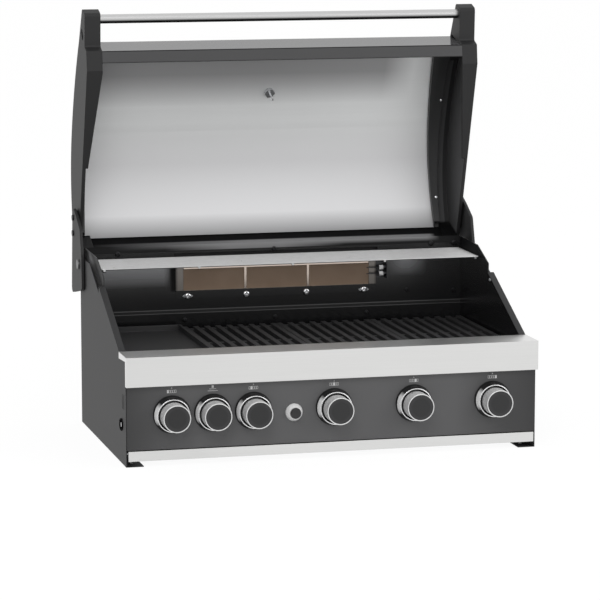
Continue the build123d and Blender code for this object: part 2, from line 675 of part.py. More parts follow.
def knob(x):
    """Knob with a skirt, a dished face and a pointer mark, on its stem."""
    end = KNOB_STANDOFF + KNOB_LENGTH
    skirt = KNOB_STANDOFF + KNOB_SKIRT
    profile = [(0, KNOB_STANDOFF), (KNOB_SKIRT_R, KNOB_STANDOFF), (KNOB_SKIRT_R, skirt),
               (KNOB_R, skirt + KNOB_CHAMFER), (KNOB_R, end - KNOB_CHAMFER), (KNOB_R - KNOB_CHAMFER, end),
               (KNOB_FACE_R, end), (KNOB_FACE_R, end - KNOB_DISH), (0, end - KNOB_DISH)]
    body = turned(profile, x, PANEL_FACE, KNOB_Z)
    face = PANEL_FACE - end + KNOB_DISH
    mark_top = KNOB_Z + KNOB_FACE_R
    body += block((x - KNOB_MARK[0] / 2, x + KNOB_MARK[0] / 2), (face - KNOB_MARK[2], face),
                  (mark_top - KNOB_MARK[1], mark_top))
    stem_end = YF + VALVE_FACE + ROTOR_LENGTH - 2 * KNOB_TRAVEL
    return body + front_prism(stem_section(x, 0), PANEL_FACE - KNOB_STANDOFF, stem_end)


def knob_bezel(x):
    profile = [(STEM_HOLE_R, 0), (BEZEL_R, 0), (BEZEL_R, BEZEL_EDGE), (BEZEL_BORE + BEZEL_RIM, BEZEL_HEIGHT),
               (BEZEL_BORE, BEZEL_HEIGHT), (BEZEL_BORE, BEZEL_FLOOR), (STEM_HOLE_R, BEZEL_FLOOR)]
    return turned(profile, x, PANEL_FACE, KNOB_Z)


def button_bezel():
    bore = BUTTON_R + FIT
    profile = [(bore, 0), (BUTTON_BEZEL_R, 0), (BUTTON_BEZEL_R, BUTTON_BEZEL_EDGE),
               (bore + BUTTON_BEZEL_RIM, BUTTON_BEZEL), (bore, BUTTON_BEZEL)]
    return turned(profile, BUTTON_X, PANEL_FACE, BUTTON_Z)


def ignition_button():
    end = BUTTON_STANDOFF + BUTTON_LENGTH
    profile = [(0, BUTTON_STANDOFF), (BUTTON_R, BUTTON_STANDOFF), (BUTTON_R, end - BUTTON_CHAMFER),
               (BUTTON_R - BUTTON_CHAMFER, end), (BUTTON_R - 2 * BUTTON_CHAMFER, end), (0, end - BUTTON_DISH)]
    cap = turned(profile, BUTTON_X, PANEL_FACE, BUTTON_Z)
    stem_start = (BUTTON_X, PANEL_FACE - BUTTON_STANDOFF, BUTTON_Z)
    return cap + pin(stem_start, (0, 1, 0), BUTTON_STEM_R, BUTTON_STEM)


def ignition_module():
    box = block((BUTTON_X - MODULE[0] / 2, BUTTON_X + MODULE[0] / 2), (YF, YF + MODULE[1]),
                (BUTTON_Z - MODULE[2] / 2, BUTTON_Z + MODULE[2] / 2))
    depth = BUTTON_STEM - BUTTON_STANDOFF - SHEET + 2 * BUTTON_TRAVEL
    return box - pin((BUTTON_X, YF, BUTTON_Z), (0, 1, 0), BUTTON_STEM_R + FIT, depth)


# Drip tray

def tray_runner():
    return block((XS - SHEET - RUNNER, XS - SHEET), (YF + SHEET, YR - SHEET), (RUNNER_Z - LINER, RUNNER_Z))


def drip_tray():
    """Pan with side flanges that slide on the runners."""
    y = (TRAY_FACE + TRAY_FRONT[0], YR - TRAY_REAR_GAP)
    top = RUNNER_Z + FIT + SHEET
    pan = block((-TRAY_HALF, TRAY_HALF), y, (TRAY_BOTTOM, top))
    inner = TRAY_HALF - SHEET
    pan -= block((-inner, inner), (y[0] + SHEET, y[1] - SHEET), (TRAY_BOTTOM + SHEET, top))
    flange = block((TRAY_HALF, XS - SHEET - TRAY_SIDE_GAP), y, (RUNNER_Z + FIT, top))
    return pan + flange + mirrored(flange)


def tray_front():
    top = TRAY_FRONT_BOTTOM + TRAY_FRONT[1]
    half = XS - TRAY_FRONT_INSET
    back = TRAY_FACE + TRAY_FRONT[0]
    strip = block((-half, half), (TRAY_FACE, back), (TRAY_FRONT_BOTTOM, top))
    return strip + block((-half, half), (back, YF), (top - SHEET, top))


# Lid, drawn level

def crown_rear():
    """Centre height and radius of the crown's rear arc, which is level at the apex."""
    rise = LID_HEIGHT - REAR_HEIGHT
    run = APEX_U - REAR_U
    radius = (run ** 2 + rise ** 2) / (2 * rise)
    return APEX_V - radius, radius


def hood_face(inset):
    """Side outline of the lid's skins, moved in by inset and open past the rear edge and the rim."""
    centre, radius = crown_rear()
    tail_u = REAR_U - 3 * SKIN_SPACE
    tail = flat(tail_u, centre + sqrt(radius ** 2 - (APEX_U - tail_u) ** 2))
    crown = TangentArc(APEX, tail, tangent=(1, 0)) + TangentArc(APEX, BROW, tangent=(-1, 0))
    foot = flat(FOOT_U, 0)
    face = make_face(crown + Polyline(BROW, flat(FOOT_U, FOOT_V), foot, (tail[0], 0), tail))
    face = fillet(face.vertices().sort_by_distance((*BROW, 0))[0], BROW_FILLET)
    return offset(face, amount=-inset) if inset else face


def hood_band(outer, inner, rear_u, low_v):
    """Strip of the lid's outline between two insets, from rear_u forward and from low_v up."""
    strip = hood_face(outer) - hood_face(inner)
    keep = polygon(flat(rear_u, low_v), flat(FOOT_U, low_v), flat(FOOT_U, APEX_V), flat(rear_u, APEX_V))
    return strip & keep


def lid_skin(outer, low_v):
    band = hood_band(outer, outer + SKIN, REAR_U + SKIN, low_v)
    hole = extrude(Circle(DIAL_NECK_R + FIT), amount=2 * SKIN_SPACE, both=True)
    return side_prism(band, -CAP_IN, CAP_IN) - dial_plane() * hole


def cap_face():
    """Side outline of a cast end cap: crown, handle horn, chin, foot and rim."""
    tip = flat(HANDLE_U + HORN_TIP[0], HANDLE_V + HORN_TIP[1])
    under = flat(HANDLE_U + HORN_TIP[0], HANDLE_V - HORN_UNDER)
    chin = flat(FOOT_U + CHIN[0], FOOT_V + CHIN[1])
    rear = flat(REAR_U, RIM_V + REAR_HEIGHT)
    crown = TangentArc(APEX, rear, tangent=(1, 0)) + TangentArc(APEX, BROW, tangent=(-1, 0))
    face = make_face(crown + Polyline(BROW, tip, under, chin, flat(FOOT_U, FOOT_V), flat(RIM_FRONT_U, RIM_V),
                                      flat(0, RIM_V), rear))
    for corner, radius in ((tip, HORN_FILLET), (under, HORN_FILLET), (chin, CHIN_FILLET)):
        face = fillet(face.vertices().sort_by_distance((*corner, 0))[0], radius)
    return face


def end_cap():
    """Right end cap: a casting, open towards the lid, whose rim flange narrows to the rear."""
    face = cap_face()
    cap = side_prism(face, CAP_IN, CAP_OUT)
    front = FOOT_U - CAP_WALL
    behind_horn = polygon(flat(0, 0), flat(front, 0), flat(front, APEX_V), flat(0, APEX_V))
    cavity = offset(face, amount=-CAP_WALL) & behind_horn
    cap -= side_prism(cavity, CAP_IN, CAP_OUT - CAP_WALL)
    pocket = SlotOverall(POCKET[0], POCKET[1], rotation=180 - POCKET_LEAN)
    place = flat(FOOT_U + POCKET_PLACE[0], FOOT_V + POCKET_PLACE[1])
    cap -= side_prism(Pos(*place) * pocket, CAP_OUT - POCKET[2], CAP_OUT)
    clear = LINER_OUT + RIM_CLEAR
    rim_front = CAP_WALL - RIM_FRONT_U
    flange_end = -lid_uv(NOTCH_Y, slope_z(NOTCH_Y))[0] - RIM_FLANGE_CLEAR_U
    opening = polygon((CAP_IN, rim_front), (CAP_OUT - RIM_FLANGE, flange_end), (clear, flange_end),
                      (clear, -CAP_WALL), (CAP_IN, -CAP_WALL))
    return cap - Pos(0, 0, RIM_V) * extrude(opening, amount=CAP_WALL)


def lid_inner_skin():
    """Skin under the outer one; its left edge runs into the hollow of the end cap."""
    wing = hood_band(SKIN_SPACE, SKIN_SPACE + SKIN, CAVITY_U, FOOT_V + BAR_LEG)
    return lid_skin(SKIN_SPACE, FOOT_V + BAR_LEG) + mirrored(side_prism(wing, CAP_IN, CAVITY_X))


def side_rail(edge, outer, rear_u):
    """Rail on the right edge of the inner skin: a plate and a flange out to outer."""
    start = SKIN_SPACE + SKIN
    low = FOOT_V + BAR_LEG
    rear, front = (CAP_IN - inset for inset in edge)
    flange = hood_band(start + RAIL_DEPTH - SHEET, start + RAIL_DEPTH, rear_u, low)
    wide = polygon((rear, 0), (front, -FOOT_U), (outer, -FOOT_U), (outer, 0))
    strip = polygon((rear, 0), (front, -FOOT_U), (front + SHEET, -FOOT_U), (rear + SHEET, 0))
    rail = side_prism(flange, front, outer) & extrude(wide, amount=APEX_V)
    plate = side_prism(hood_band(start, start + RAIL_DEPTH, rear_u, low), front, outer)
    return rail + (plate & extrude(strip, amount=APEX_V))


def lid_front_bar():
    """Folded bar along the lid's front foot, with a leg inside the lid."""
    edge_u, edge_v = FOOT_U - BAR_FACE * cos(radians(SLOPE)), FOOT_V - BAR_FACE * sin(radians(SLOPE))
    line = [flat(FOOT_U, FOOT_V), flat(edge_u, edge_v), flat(edge_u, FOOT_V + BAR_LEG)]
    return side_prism(folded(line, BAR_SHEET), -CAP_IN, CAP_IN)


def lid_rear_panel():
    low, high = RIM_V + LIP_HEIGHT, RIM_V + REAR_HEIGHT
    outline = polygon(flat(0, low), flat(SKIN, low), flat(REAR_U + SKIN, high), flat(REAR_U, high))
    return side_prism(outline, -CAP_IN, CAP_IN)


def hinge_arm():
    """Right hinge arm outside the casing, with the pad that carries it on the end cap."""
    face = polygon(*(flat(*point) for point in ARM_OUTLINE))
    arm = side_prism(fillet(face.vertices(), ARM_FILLET), ARM_IN, ARM_OUT)
    arm += side_prism(polygon(*(flat(*point) for point in ARM_PAD)), CAP_OUT, ARM_IN)
    return arm - pin((ARM_IN, 0, 0), (1, 0, 0), PIN_R + SHAFT_FIT, ARM)


def arm_bolts():
    return [pin((ARM_OUT, *flat(u, v)), (1, 0, 0), BOLT_R, BOLT_HEAD) for u, v in ARM_BOLTS]


def handle_tube():
    start = (-CAP_IN, *flat(HANDLE_U, HANDLE_V))
    tube = pin(start, (1, 0, 0), HANDLE_R, 2 * CAP_IN)
    return tube - pin(start, (1, 0, 0), HANDLE_R - HANDLE_WALL, 2 * CAP_IN)


def hinge_pin():
    """Right hinge pin, held in the casing, with a head outside the arm."""
    shaft = pin((LINER_OUT, HINGE_Y, HINGE_Z), (1, 0, 0), PIN_R, ARM_OUT + FIT - LINER_OUT)
    return shaft + pin((ARM_OUT + FIT, HINGE_Y, HINGE_Z), (1, 0, 0), PIN_HEAD_R, PIN_HEAD)


# Thermometer

def dial_plane():
    """Plane on the lid's outer skin, square to the crown, at the thermometer."""
    run = BROW_U - APEX_U
    drop = APEX_V - BROW_HEIGHT_V
    radius = (run ** 2 + drop ** 2) / (2 * drop)
    lean = (DIAL_U - APEX_U) / radius
    rise = APEX_V - radius + sqrt(radius ** 2 - (DIAL_U - APEX_U) ** 2)
    return Plane(origin=(0, *flat(DIAL_U, rise)), x_dir=(1, 0, 0), z_dir=(0, -lean, sqrt(1 - lean ** 2)))


def thermometer_case():
    """Dial case on the lid with its neck and probe through both skins."""
    case = extrude(Circle(DIAL_R), amount=DIAL_HEIGHT)
    well = Pos(0, 0, DIAL_HEIGHT - DIAL_WELL)
    case -= well * extrude(Circle(DIAL_R - DIAL_RIM), amount=DIAL_WELL)
    case += well * extrude(Circle(ARBOR_R), amount=DIAL_WELL - GLASS - FIT)
    neck = SKIN_SPACE + SKIN
    case += pin((0, 0, 0), (0, 0, -1), DIAL_NECK_R, neck)
    return dial_plane() * (case + pin((0, 0, -neck), (0, 0, -1), PROBE_R, PROBE_LENGTH))


def thermometer_glass():
    top = Pos(0, 0, DIAL_HEIGHT - GLASS)
    return dial_plane() * top * extrude(Circle(DIAL_R - DIAL_RIM), amount=GLASS)


def thermometer_nut():
    seat = Pos(0, 0, -SKIN_SPACE - SKIN - FIT - NUT)
    return dial_plane() * seat * extrude(RegularPolygon(NUT_R, 6) - Circle(PROBE_R), amount=NUT)


def thermometer_pointer():
    """Pointer on its arbor, just over the dial."""
    width, reach, thickness = POINTER
    blade = polygon((-width / 2, -POINTER_TAIL), (width / 2, -POINTER_TAIL), (POINTER_TIP / 2, reach),
                    (-POINTER_TIP / 2, reach))
    face = blade + Circle(POINTER_HUB_R) - Circle(ARBOR_R + SHAFT_FIT)
    seat = Pos(0, 0, DIAL_HEIGHT - DIAL_WELL + FIT) * Rot(0, 0, POINTER_REST)
    return dial_plane() * seat * extrude(face, amount=thickness)


# Places in the lid that follow from the sizes
RIM_V = lid_uv(SLOPE_Y, BAND_TOP)[1] + RIM_GAP
FOOT_U, FOOT_V = lid_uv(BAND_FRONT + LID_SETBACK, BAND_TOP + LID_GAP)
RIM_FRONT_U = FOOT_U - (FOOT_V - RIM_V) / tan(radians(SLOPE))
BROW_U = FOOT_U - BROW_LEAN
BROW_HEIGHT_V = FOOT_V + BROW_HEIGHT
APEX_V = RIM_V + LID_HEIGHT
APEX = flat(APEX_U, APEX_V)
BROW = flat(BROW_U, BROW_HEIGHT_V)
HANDLE_U, HANDLE_V = BROW_U + HANDLE_REACH, BROW_HEIGHT_V - HANDLE_DROP

# Casing pieces
inlet_hole = pin((XS - SHEET, MANIFOLD_Y, MANIFOLD_Z), (1, 0, 0), INLET_HOLE_R, SHEET)
save("side_panel_right", side_panel() - inlet_hole)
save("side_panel_left", mirrored(side_panel()))
save("rear_panel", rear_panel())
save("front_band", front_band())
save("control_panel", control_panel())

# Firebox pieces
line_hole = pin((-LINER_OUT, LINE_BACK, TILE_Z), (1, 0, 0), LINE_HOLE_R, LINER)
save("firebox_wall_right", liner())
save("firebox_wall_left", mirrored(liner()) - line_hole)
save("firebox_wall_front", front_wall())
save("firebox_wall_rear", rear_wall())
ledges = [front_ledge(GRATE_BOTTOM, LEDGE_FRONT), rear_ledge(GRATE_BOTTOM, LEDGE_REAR),
          front_ledge(TAMER_Z, LEDGE_FRONT), rear_ledge(TAMER_Z, LEDGE_REAR),
          rear_ledge(KNOB_Z - TAB[2], BURNER_REST), rack_shelf(), mirrored(rack_shelf())]
save("support_ledges", *ledges)
for i in range(GRATE_COUNT):
    left = -COOK_HALF + GRIDDLE_WIDTH + PLATE_GAP + i * (GRATE_WIDTH + PLATE_GAP)
    save(f"grate_{i + 1}", grate(left, left + GRATE_WIDTH))
save("griddle", griddle())
save("warming_rack", warming_rack())
save("main_burners", *(main_burner(x) for x in BURNER_XS))
save("flame_tamers", *(flame_tamer(x) for x in BURNER_XS))

# Gas pieces
save("gas_manifold", gas_manifold())
save("valve_bodies", *(valve_body(x, i != REAR_KNOB) for i, x in enumerate(KNOB_XS)))
save("rear_gas_line", rear_gas_line())
save("rear_burner_housing", rear_burner_housing())
save("rear_burner_tiles", *rear_burner_tiles())
save("rear_burner_frame", rear_burner_frame())
save("rear_igniter", rear_igniter())

# Controls
save("control_bezels", *(knob_bezel(x) for x in KNOB_XS), button_bezel())
save("ignition_module", ignition_module())
save("ignition_button", ignition_button())
for i, x in enumerate(KNOB_XS):
    save(f"knob_{i + 1}", knob(x))
    save(f"valve_rotor_{i + 1}", valve_rotor(x))

# Tray
save("tray_runners", tray_runner(), mirrored(tray_runner()))
save("drip_tray", drip_tray())
save("tray_front", tray_front())

# Lid pieces
save("lid_outer_skin", opened(lid_skin(SKIN_INSET, FOOT_V + BAR_SHEET / cos(radians(SLOPE)))))
save("lid_inner_skin", opened(lid_inner_skin()))
save("lid_end_right", opened(end_cap()))
save("lid_end_left", opened(mirrored(end_cap())))
save("lid_side_rail_right", opened(side_rail(RAIL_EDGE, CAP_IN, REAR_U + SKIN)))
save("lid_side_rail_left", opened(mirrored(side_rail(LEFT_RAIL_EDGE, CAVITY_X, CAVITY_U))))
save("lid_front_bar", opened(lid_front_bar()))
save("lid_rear_panel", opened(lid_rear_panel()))
save("hinge_arm_right", opened(hinge_arm()))
save("hinge_arm_left", opened(mirrored(hinge_arm())))
bolts = arm_bolts()
save("arm_bolts", *(opened(bolt) for bolt in bolts), *(opened(mirrored(bolt)) for bolt in bolts))
save("handle_tube", opened(handle_tube()))
save("hinge_pins", hinge_pin(), mirrored(hinge_pin()))
save("thermometer_case", opened(thermometer_case()))
save("thermometer_glass", opened(thermometer_glass()))
save("thermometer_nut", opened(thermometer_nut()))
save("thermometer_pointer", opened(thermometer_pointer()))
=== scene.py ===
import json
from math import cos, pi, radians, sin

import bpy
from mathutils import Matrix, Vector


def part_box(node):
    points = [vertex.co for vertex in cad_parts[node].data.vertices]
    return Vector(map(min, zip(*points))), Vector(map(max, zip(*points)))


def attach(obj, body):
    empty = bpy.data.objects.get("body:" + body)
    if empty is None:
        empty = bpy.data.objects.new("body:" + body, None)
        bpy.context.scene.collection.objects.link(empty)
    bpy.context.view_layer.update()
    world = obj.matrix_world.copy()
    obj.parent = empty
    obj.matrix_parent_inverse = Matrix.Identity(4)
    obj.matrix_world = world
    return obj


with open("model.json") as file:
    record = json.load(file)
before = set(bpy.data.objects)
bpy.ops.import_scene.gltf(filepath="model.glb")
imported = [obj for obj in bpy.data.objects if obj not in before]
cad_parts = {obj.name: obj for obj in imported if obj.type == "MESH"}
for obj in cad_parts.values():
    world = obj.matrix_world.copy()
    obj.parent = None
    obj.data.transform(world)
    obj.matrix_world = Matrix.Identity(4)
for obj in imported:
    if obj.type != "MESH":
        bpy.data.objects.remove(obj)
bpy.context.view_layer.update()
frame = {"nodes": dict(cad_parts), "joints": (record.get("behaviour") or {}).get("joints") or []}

# Places and sizes are in millimetres in the frame's axes, apart from the studio's, which are in metres
MM = 0.001
FAR = 2000
RIGHT, BACK, UP = (1, 0, 0), (0, 1, 0), (0, 0, 1)
LEFT, FRONT = (-1, 0, 0), (0, -1, 0)
SIDES = {"left": -1, "right": 1}
JOINTS = {joint["name"]: joint for joint in frame["joints"]}


def pivot(joint):
    """Place that a joint turns about."""
    return Vector(JOINTS[joint]["pos_m"]) / MM


def corners(node):
    """Lowest and highest corner of a node."""
    return [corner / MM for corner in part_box(node)]


KNOBS = [pivot(f"valve_{number}_turn") for number in range(1, 7)]
PANEL_FACE = corners("control_panel")[0].y
BEZEL_FACE = corners("control_bezels")[0].y
CASE_FRONT = corners("side_panel_right")[0].y
CASE_SIDE = corners("side_panel_right")[1].x
CASE_REAR = corners("rear_panel")[1].y
EAR_INSIDE = corners("firebox_wall_right")[0].x
EAR_OUTSIDE = corners("firebox_wall_right")[1].x
LOWER_WALL = corners("firebox_wall_rear")[0].y
UPPER_WALL = corners("rear_burner_frame")[1].y
RACK_FOOT = corners("warming_rack")[0].z
ARM_OUTSIDE = corners("hinge_arm_right")[1].x
BAND_BACK = corners("front_band")[1].y
BAND_TOP = corners("front_band")[1].z
SHEET = 1.5

# The open lid leans back: directions towards its handle and its back, and the hinge's place along them
LID_LEAN = radians(17.6)
TO_HANDLE = (0, -sin(LID_LEAN), cos(LID_LEAN))
TO_BACK = (0, cos(LID_LEAN), sin(LID_LEAN))
UNDER_HANDLE = (0, sin(LID_LEAN), -cos(LID_LEAN))
HINGE_U = pivot("lid_hinge").dot(TO_HANDLE)
HINGE_V = pivot("lid_hinge").dot(TO_BACK)
# Square to the slope of the side panels, which the lid's rear flange nearly follows
OFF_SLOPE = (0, -0.419, 0.908)


def linear(colour):
    """sRGB hex value as linear RGBA."""
    channels = [int(colour[i:i + 2], 16) / 255 for i in (1, 3, 5)]
    return (*(c / 12.92 if c <= 0.04045 else ((c + 0.055) / 1.055) ** 2.4 for c in channels), 1.0)


def pattern(size):
    """Texture scale that gives marks of a size."""
    return 1 / (size * MM)


def add(tree, kind, values=None, links=None, **settings):
    """Node with its settings, the values of its sockets and the sockets that feed it."""
    node = tree.nodes.new(kind)
    for name, value in settings.items():
        setattr(node, name, value)
    for socket, value in (values or {}).items():
        node.inputs[socket].default_value = value
    for socket, source in (links or {}).items():
        tree.links.new(source, node.inputs[socket])
    return node


def material(name, **values):
    """New material with one surface shader; returns it, its tree, its shader and the object coordinates."""
    made = bpy.data.materials.new(name)
    made.use_nodes = True
    tree = made.node_tree
    shader = tree.nodes["Principled BSDF"]
    for socket, value in values.items():
        shader.inputs[socket.replace("_", " ")].default_value = value
    return made, tree, shader, add(tree, "ShaderNodeTexCoord").outputs


def zone(made, limits, colour, gloss, metal=0.0, shine=0.5, facing=()):
    """Repaints a finish where the place, and the way that the surface faces, are within all their limits.

    A limit is a direction, the lowest and highest value along it, and half the width of the fade at both.
    FAR in place of a value sets no limit there.
    """
    tree = made.node_tree
    shader = tree.nodes["Principled BSDF"]
    place = add(tree, "ShaderNodeTexCoord").outputs
    inside = None
    for source, unit, rows in (("Object", MM, limits), ("Normal", 1, facing)):
        for direction, low, high, soft in rows:
            along = add(tree, "ShaderNodeVectorMath", {1: direction}, {0: place[source]},
                        operation="DOT_PRODUCT")
            for value, fade in ((low, soft), (high, -soft)):
                if abs(value) == FAR:
                    continue
                edge = add(tree, "ShaderNodeMapRange",
                           {"From Min": (value - fade) * unit, "From Max": (value + fade) * unit},
                           {"Value": along.outputs["Value"]})
                if inside:
                    edge = add(tree, "ShaderNodeMath", links={0: inside.outputs[0], 1: edge.outputs[0]},
                               operation="MULTIPLY")
                inside = edge
    for name, kind, value in (("Base Color", "RGBA", linear(colour)), ("Roughness", "FLOAT", gloss),
                              ("Metallic", "FLOAT", metal), ("Specular IOR Level", "FLOAT", shine)):
        socket = shader.inputs[name]
        if kind == "FLOAT" and not socket.is_linked and socket.default_value == value:
            continue
        old, new, result = (6, 7, 2) if kind == "RGBA" else (2, 3, 0)
        mix = add(tree, "ShaderNodeMix", {new: value}, {0: inside.outputs[0]}, data_type=kind)
        if socket.is_linked:
            tree.links.new(socket.links[0].from_socket, mix.inputs[old])
        else:
            mix.inputs[old].default_value = socket.default_value
        tree.links.new(mix.outputs[result], socket)


# Finishes

def powder_coat(name, dark, light, gloss, shine=0.5):
    """Polyester powder baked on sheet: a fine orange peel breaks up the shine, and the colour is even."""
    made, tree, shader, place = material(name, Roughness=gloss, Specular_IOR_Level=shine)
    # Real orange peel is 0.5 mm across, drawn at 2 mm so that it shows
    peel = add(tree, "ShaderNodeTexNoise", {"Scale": pattern(2), "Detail": 3.0}, {"Vector": place["Object"]})
    cloud = add(tree, "ShaderNodeTexNoise", {"Scale": pattern(180), "Detail": 2.0},
                {"Vector": place["Object"]})
    tint = add(tree, "ShaderNodeMix", {6: linear(dark), 7: linear(light)}, {0: cloud.outputs[0]},
               data_type="RGBA")
    tree.links.new(tint.outputs[2], shader.inputs["Base Color"])
    edge = add(tree, "ShaderNodeBevel", {"Radius": 0.8 * MM}, samples=4)
    bump = add(tree, "ShaderNodeBump", {"Strength": 0.12, "Distance": 0.05 * MM},
               {"Height": peel.outputs[0], "Normal": edge.outputs[0]})
    tree.links.new(bump.outputs[0], shader.inputs["Normal"])
    return made


def brushed_stainless(name, dark, light, gloss, strokes):
    """Austenitic sheet ground with a belt: long fine strokes that smear the reflection across themselves."""
    made, tree, shader, place = material(name, Metallic=1.0)
    # Belt strokes are 0.1 mm wide and about 150 mm long, drawn wider so that they show
    stretch = add(tree, "ShaderNodeMapping", {"Scale": [pattern(size) for size in strokes]},
                  {"Vector": place["Object"]})
    lines = add(tree, "ShaderNodeTexNoise", {"Scale": 1.0, "Detail": 4.0, "Roughness": 0.6},
                {"Vector": stretch.outputs[0]})
    tint = add(tree, "ShaderNodeMix", {6: linear(dark), 7: linear(light)}, {0: lines.outputs[0]},
               data_type="RGBA")
    tree.links.new(tint.outputs[2], shader.inputs["Base Color"])
    rough = add(tree, "ShaderNodeMapRange", {"To Min": gloss - 0.05, "To Max": gloss + 0.05},
                {"Value": lines.outputs[0]})
    tree.links.new(rough.outputs[0], shader.inputs["Roughness"])
    edge = add(tree, "ShaderNodeBevel", {"Radius": 0.8 * MM}, samples=4)
    bump = add(tree, "ShaderNodeBump", {"Strength": 0.05, "Distance": 0.02 * MM},
               {"Height": lines.outputs[0], "Normal": edge.outputs[0]})
    tree.links.new(bump.outputs[0], shader.inputs["Normal"])
    return made


def vitreous_enamel(name, colour, gloss, ripple):
    """Glass frit fused on steel: deep colour under a wet shine with a faint long ripple."""
    made, tree, shader, place = material(name, Base_Color=linear(colour), Roughness=gloss, IOR=1.54)
    # Firing ripple about 25 mm long
    wave = add(tree, "ShaderNodeTexNoise", {"Scale": pattern(25), "Detail": 2.0}, {"Vector": place["Object"]})
    edge = add(tree, "ShaderNodeBevel", {"Radius": 1.0 * MM}, samples=4)
    bump = add(tree, "ShaderNodeBump", {"Strength": ripple, "Distance": 0.2 * MM},
               {"Height": wave.outputs[0], "Normal": edge.outputs[0]})
    tree.links.new(bump.outputs[0], shader.inputs["Normal"])
    return made


def stove_paint(name, colour, shine):
    """Silicone paint for hot steel: dead matt, so that it hardly mirrors, with a dusty cloudiness."""
    made, tree, shader, place = material(name, Base_Color=linear(colour), Specular_IOR_Level=shine)
    dust = add(tree, "ShaderNodeTexNoise", {"Scale": pattern(40), "Detail": 3.0}, {"Vector": place["Object"]})
    rough = add(tree, "ShaderNodeMapRange", {"To Min": 0.75, "To Max": 0.95}, {"Value": dust.outputs[0]})
    tree.links.new(rough.outputs[0], shader.inputs["Roughness"])
    return made


def sand_casting(name, dark, light, gloss, grain):
    """Cast metal under a matt coat: the mould's sand leaves a grain, with its high spots a little lighter."""
    made, tree, shader, place = material(name, Roughness=gloss)
    sand = add(tree, "ShaderNodeTexNoise", {"Scale": pattern(grain), "Detail": 5.0, "Roughness": 0.65},
               {"Vector": place["Object"]})
    tint = add(tree, "ShaderNodeMix", {6: linear(dark), 7: linear(light)}, {0: sand.outputs[0]},
               data_type="RGBA")
    tree.links.new(tint.outputs[2], shader.inputs["Base Color"])
    edge = add(tree, "ShaderNodeBevel", {"Radius": 2.0 * MM}, samples=6)
    bump = add(tree, "ShaderNodeBump", {"Strength": 0.3, "Distance": 0.2 * MM},
               {"Height": sand.outputs[0], "Normal": edge.outputs[0]})
    tree.links.new(bump.outputs[0], shader.inputs["Normal"])
    return made


def plain_metal(name, dark, light, gloss, rounding=0.4):
    """Turned, plated or drawn metal: clean and bright, with slow stains from handling."""
    made, tree, shader, place = material(name, Metallic=1.0)
    stain = add(tree, "ShaderNodeTexNoise", {"Scale": pattern(12), "Detail": 3.0},
                {"Vector": place["Object"]})
    tint = add(tree, "ShaderNodeMix", {6: linear(dark), 7: linear(light)}, {0: stain.outputs[0]},
               data_type="RGBA")
    tree.links.new(tint.outputs[2], shader.inputs["Base Color"])
    rough = add(tree, "ShaderNodeMapRange", {"To Min": gloss * 0.8, "To Max": gloss * 1.3},
                {"Value": stain.outputs[0]})
    tree.links.new(rough.outputs[0], shader.inputs["Roughness"])
    edge = add(tree, "ShaderNodeBevel", {"Radius": rounding * MM}, samples=8)
    tree.links.new(edge.outputs[0], shader.inputs["Normal"])
    return made


def moulded_plastic(name, colour, gloss):
    """Phenolic or ABS from a spark-eroded mould: even colour and a fine satin grain."""
    made, tree, shader, place = material(name, Base_Color=linear(colour), Roughness=gloss)
    # Mould grain of 0.3 mm, drawn at 1 mm so that it shows
    grain = add(tree, "ShaderNodeTexNoise", {"Scale": pattern(1), "Detail": 2.0}, {"Vector": place["Object"]})
    bump = add(tree, "ShaderNodeBump", {"Strength": 0.1, "Distance": 0.05 * MM}, {"Height": grain.outputs[0]})
    tree.links.new(bump.outputs[0], shader.inputs["Normal"])
    return made


def shelled_knob(number, centre):
    """Anodised aluminium shell over black phenolic: a satin grip, a bright lip, and a matt dish and skirt."""
    made, tree, shader, place = material(f"anodised_shell_knob_{number}", Roughness=0.5)
    # Turning marks of 0.2 mm along the grip, drawn at 3 mm so that they show
    depth = add(tree, "ShaderNodeSeparateXYZ", links={0: place["Object"]})
    marks = add(tree, "ShaderNodeTexNoise", {"Scale": pattern(3), "Detail": 2.0}, {"W": depth.outputs["Y"]},
                noise_dimensions="1D")
    shell = add(tree, "ShaderNodeMix", {6: linear("#bcbcbc"), 7: linear("#ffffff")}, {0: marks.outputs[0]},
                data_type="RGBA")
    # The dish is everything nearer the axis than the lip, its middle painted darker as painted shade of its
    # hollow
    flat = add(tree, "ShaderNodeVectorMath", {1: (1, 0, 1)}, {0: place["Object"]}, operation="MULTIPLY")
    reach = add(tree, "ShaderNodeVectorMath", {1: (centre.x * MM, 0, centre.z * MM)}, {0: flat.outputs[0]},
                operation="DISTANCE")
    dish = add(tree, "ShaderNodeMapRange", {"From Min": 25.3 * MM, "From Max": 25.1 * MM},
               {"Value": reach.outputs["Value"]})
    middle = add(tree, "ShaderNodeMapRange", {"From Min": 21 * MM, "From Max": 17 * MM},
                 {"Value": reach.outputs["Value"]})
    face = add(tree, "ShaderNodeMix", {6: linear("#29292a"), 7: linear("#1d1d1e")}, {0: middle.outputs[0]},
               data_type="RGBA")
    tint = add(tree, "ShaderNodeMix", links={0: dish.outputs[0], 6: shell.outputs[2], 7: face.outputs[2]},
               data_type="RGBA")
    tree.links.new(tint.outputs[2], shader.inputs["Base Color"])
    metal = add(tree, "ShaderNodeMapRange", {"To Min": 0.6, "To Max": 0.0}, {"Value": dish.outputs[0]})
    tree.links.new(metal.outputs[0], shader.inputs["Metallic"])
    edge = add(tree, "ShaderNodeBevel", {"Radius": 0.5 * MM}, samples=4)
    tree.links.new(edge.outputs[0], shader.inputs["Normal"])
    # The skirt is what stands inside the bezel
    zone(made, [(BACK, BEZEL_FACE, FAR, 0.2)], "#101011", 0.5)
    return made


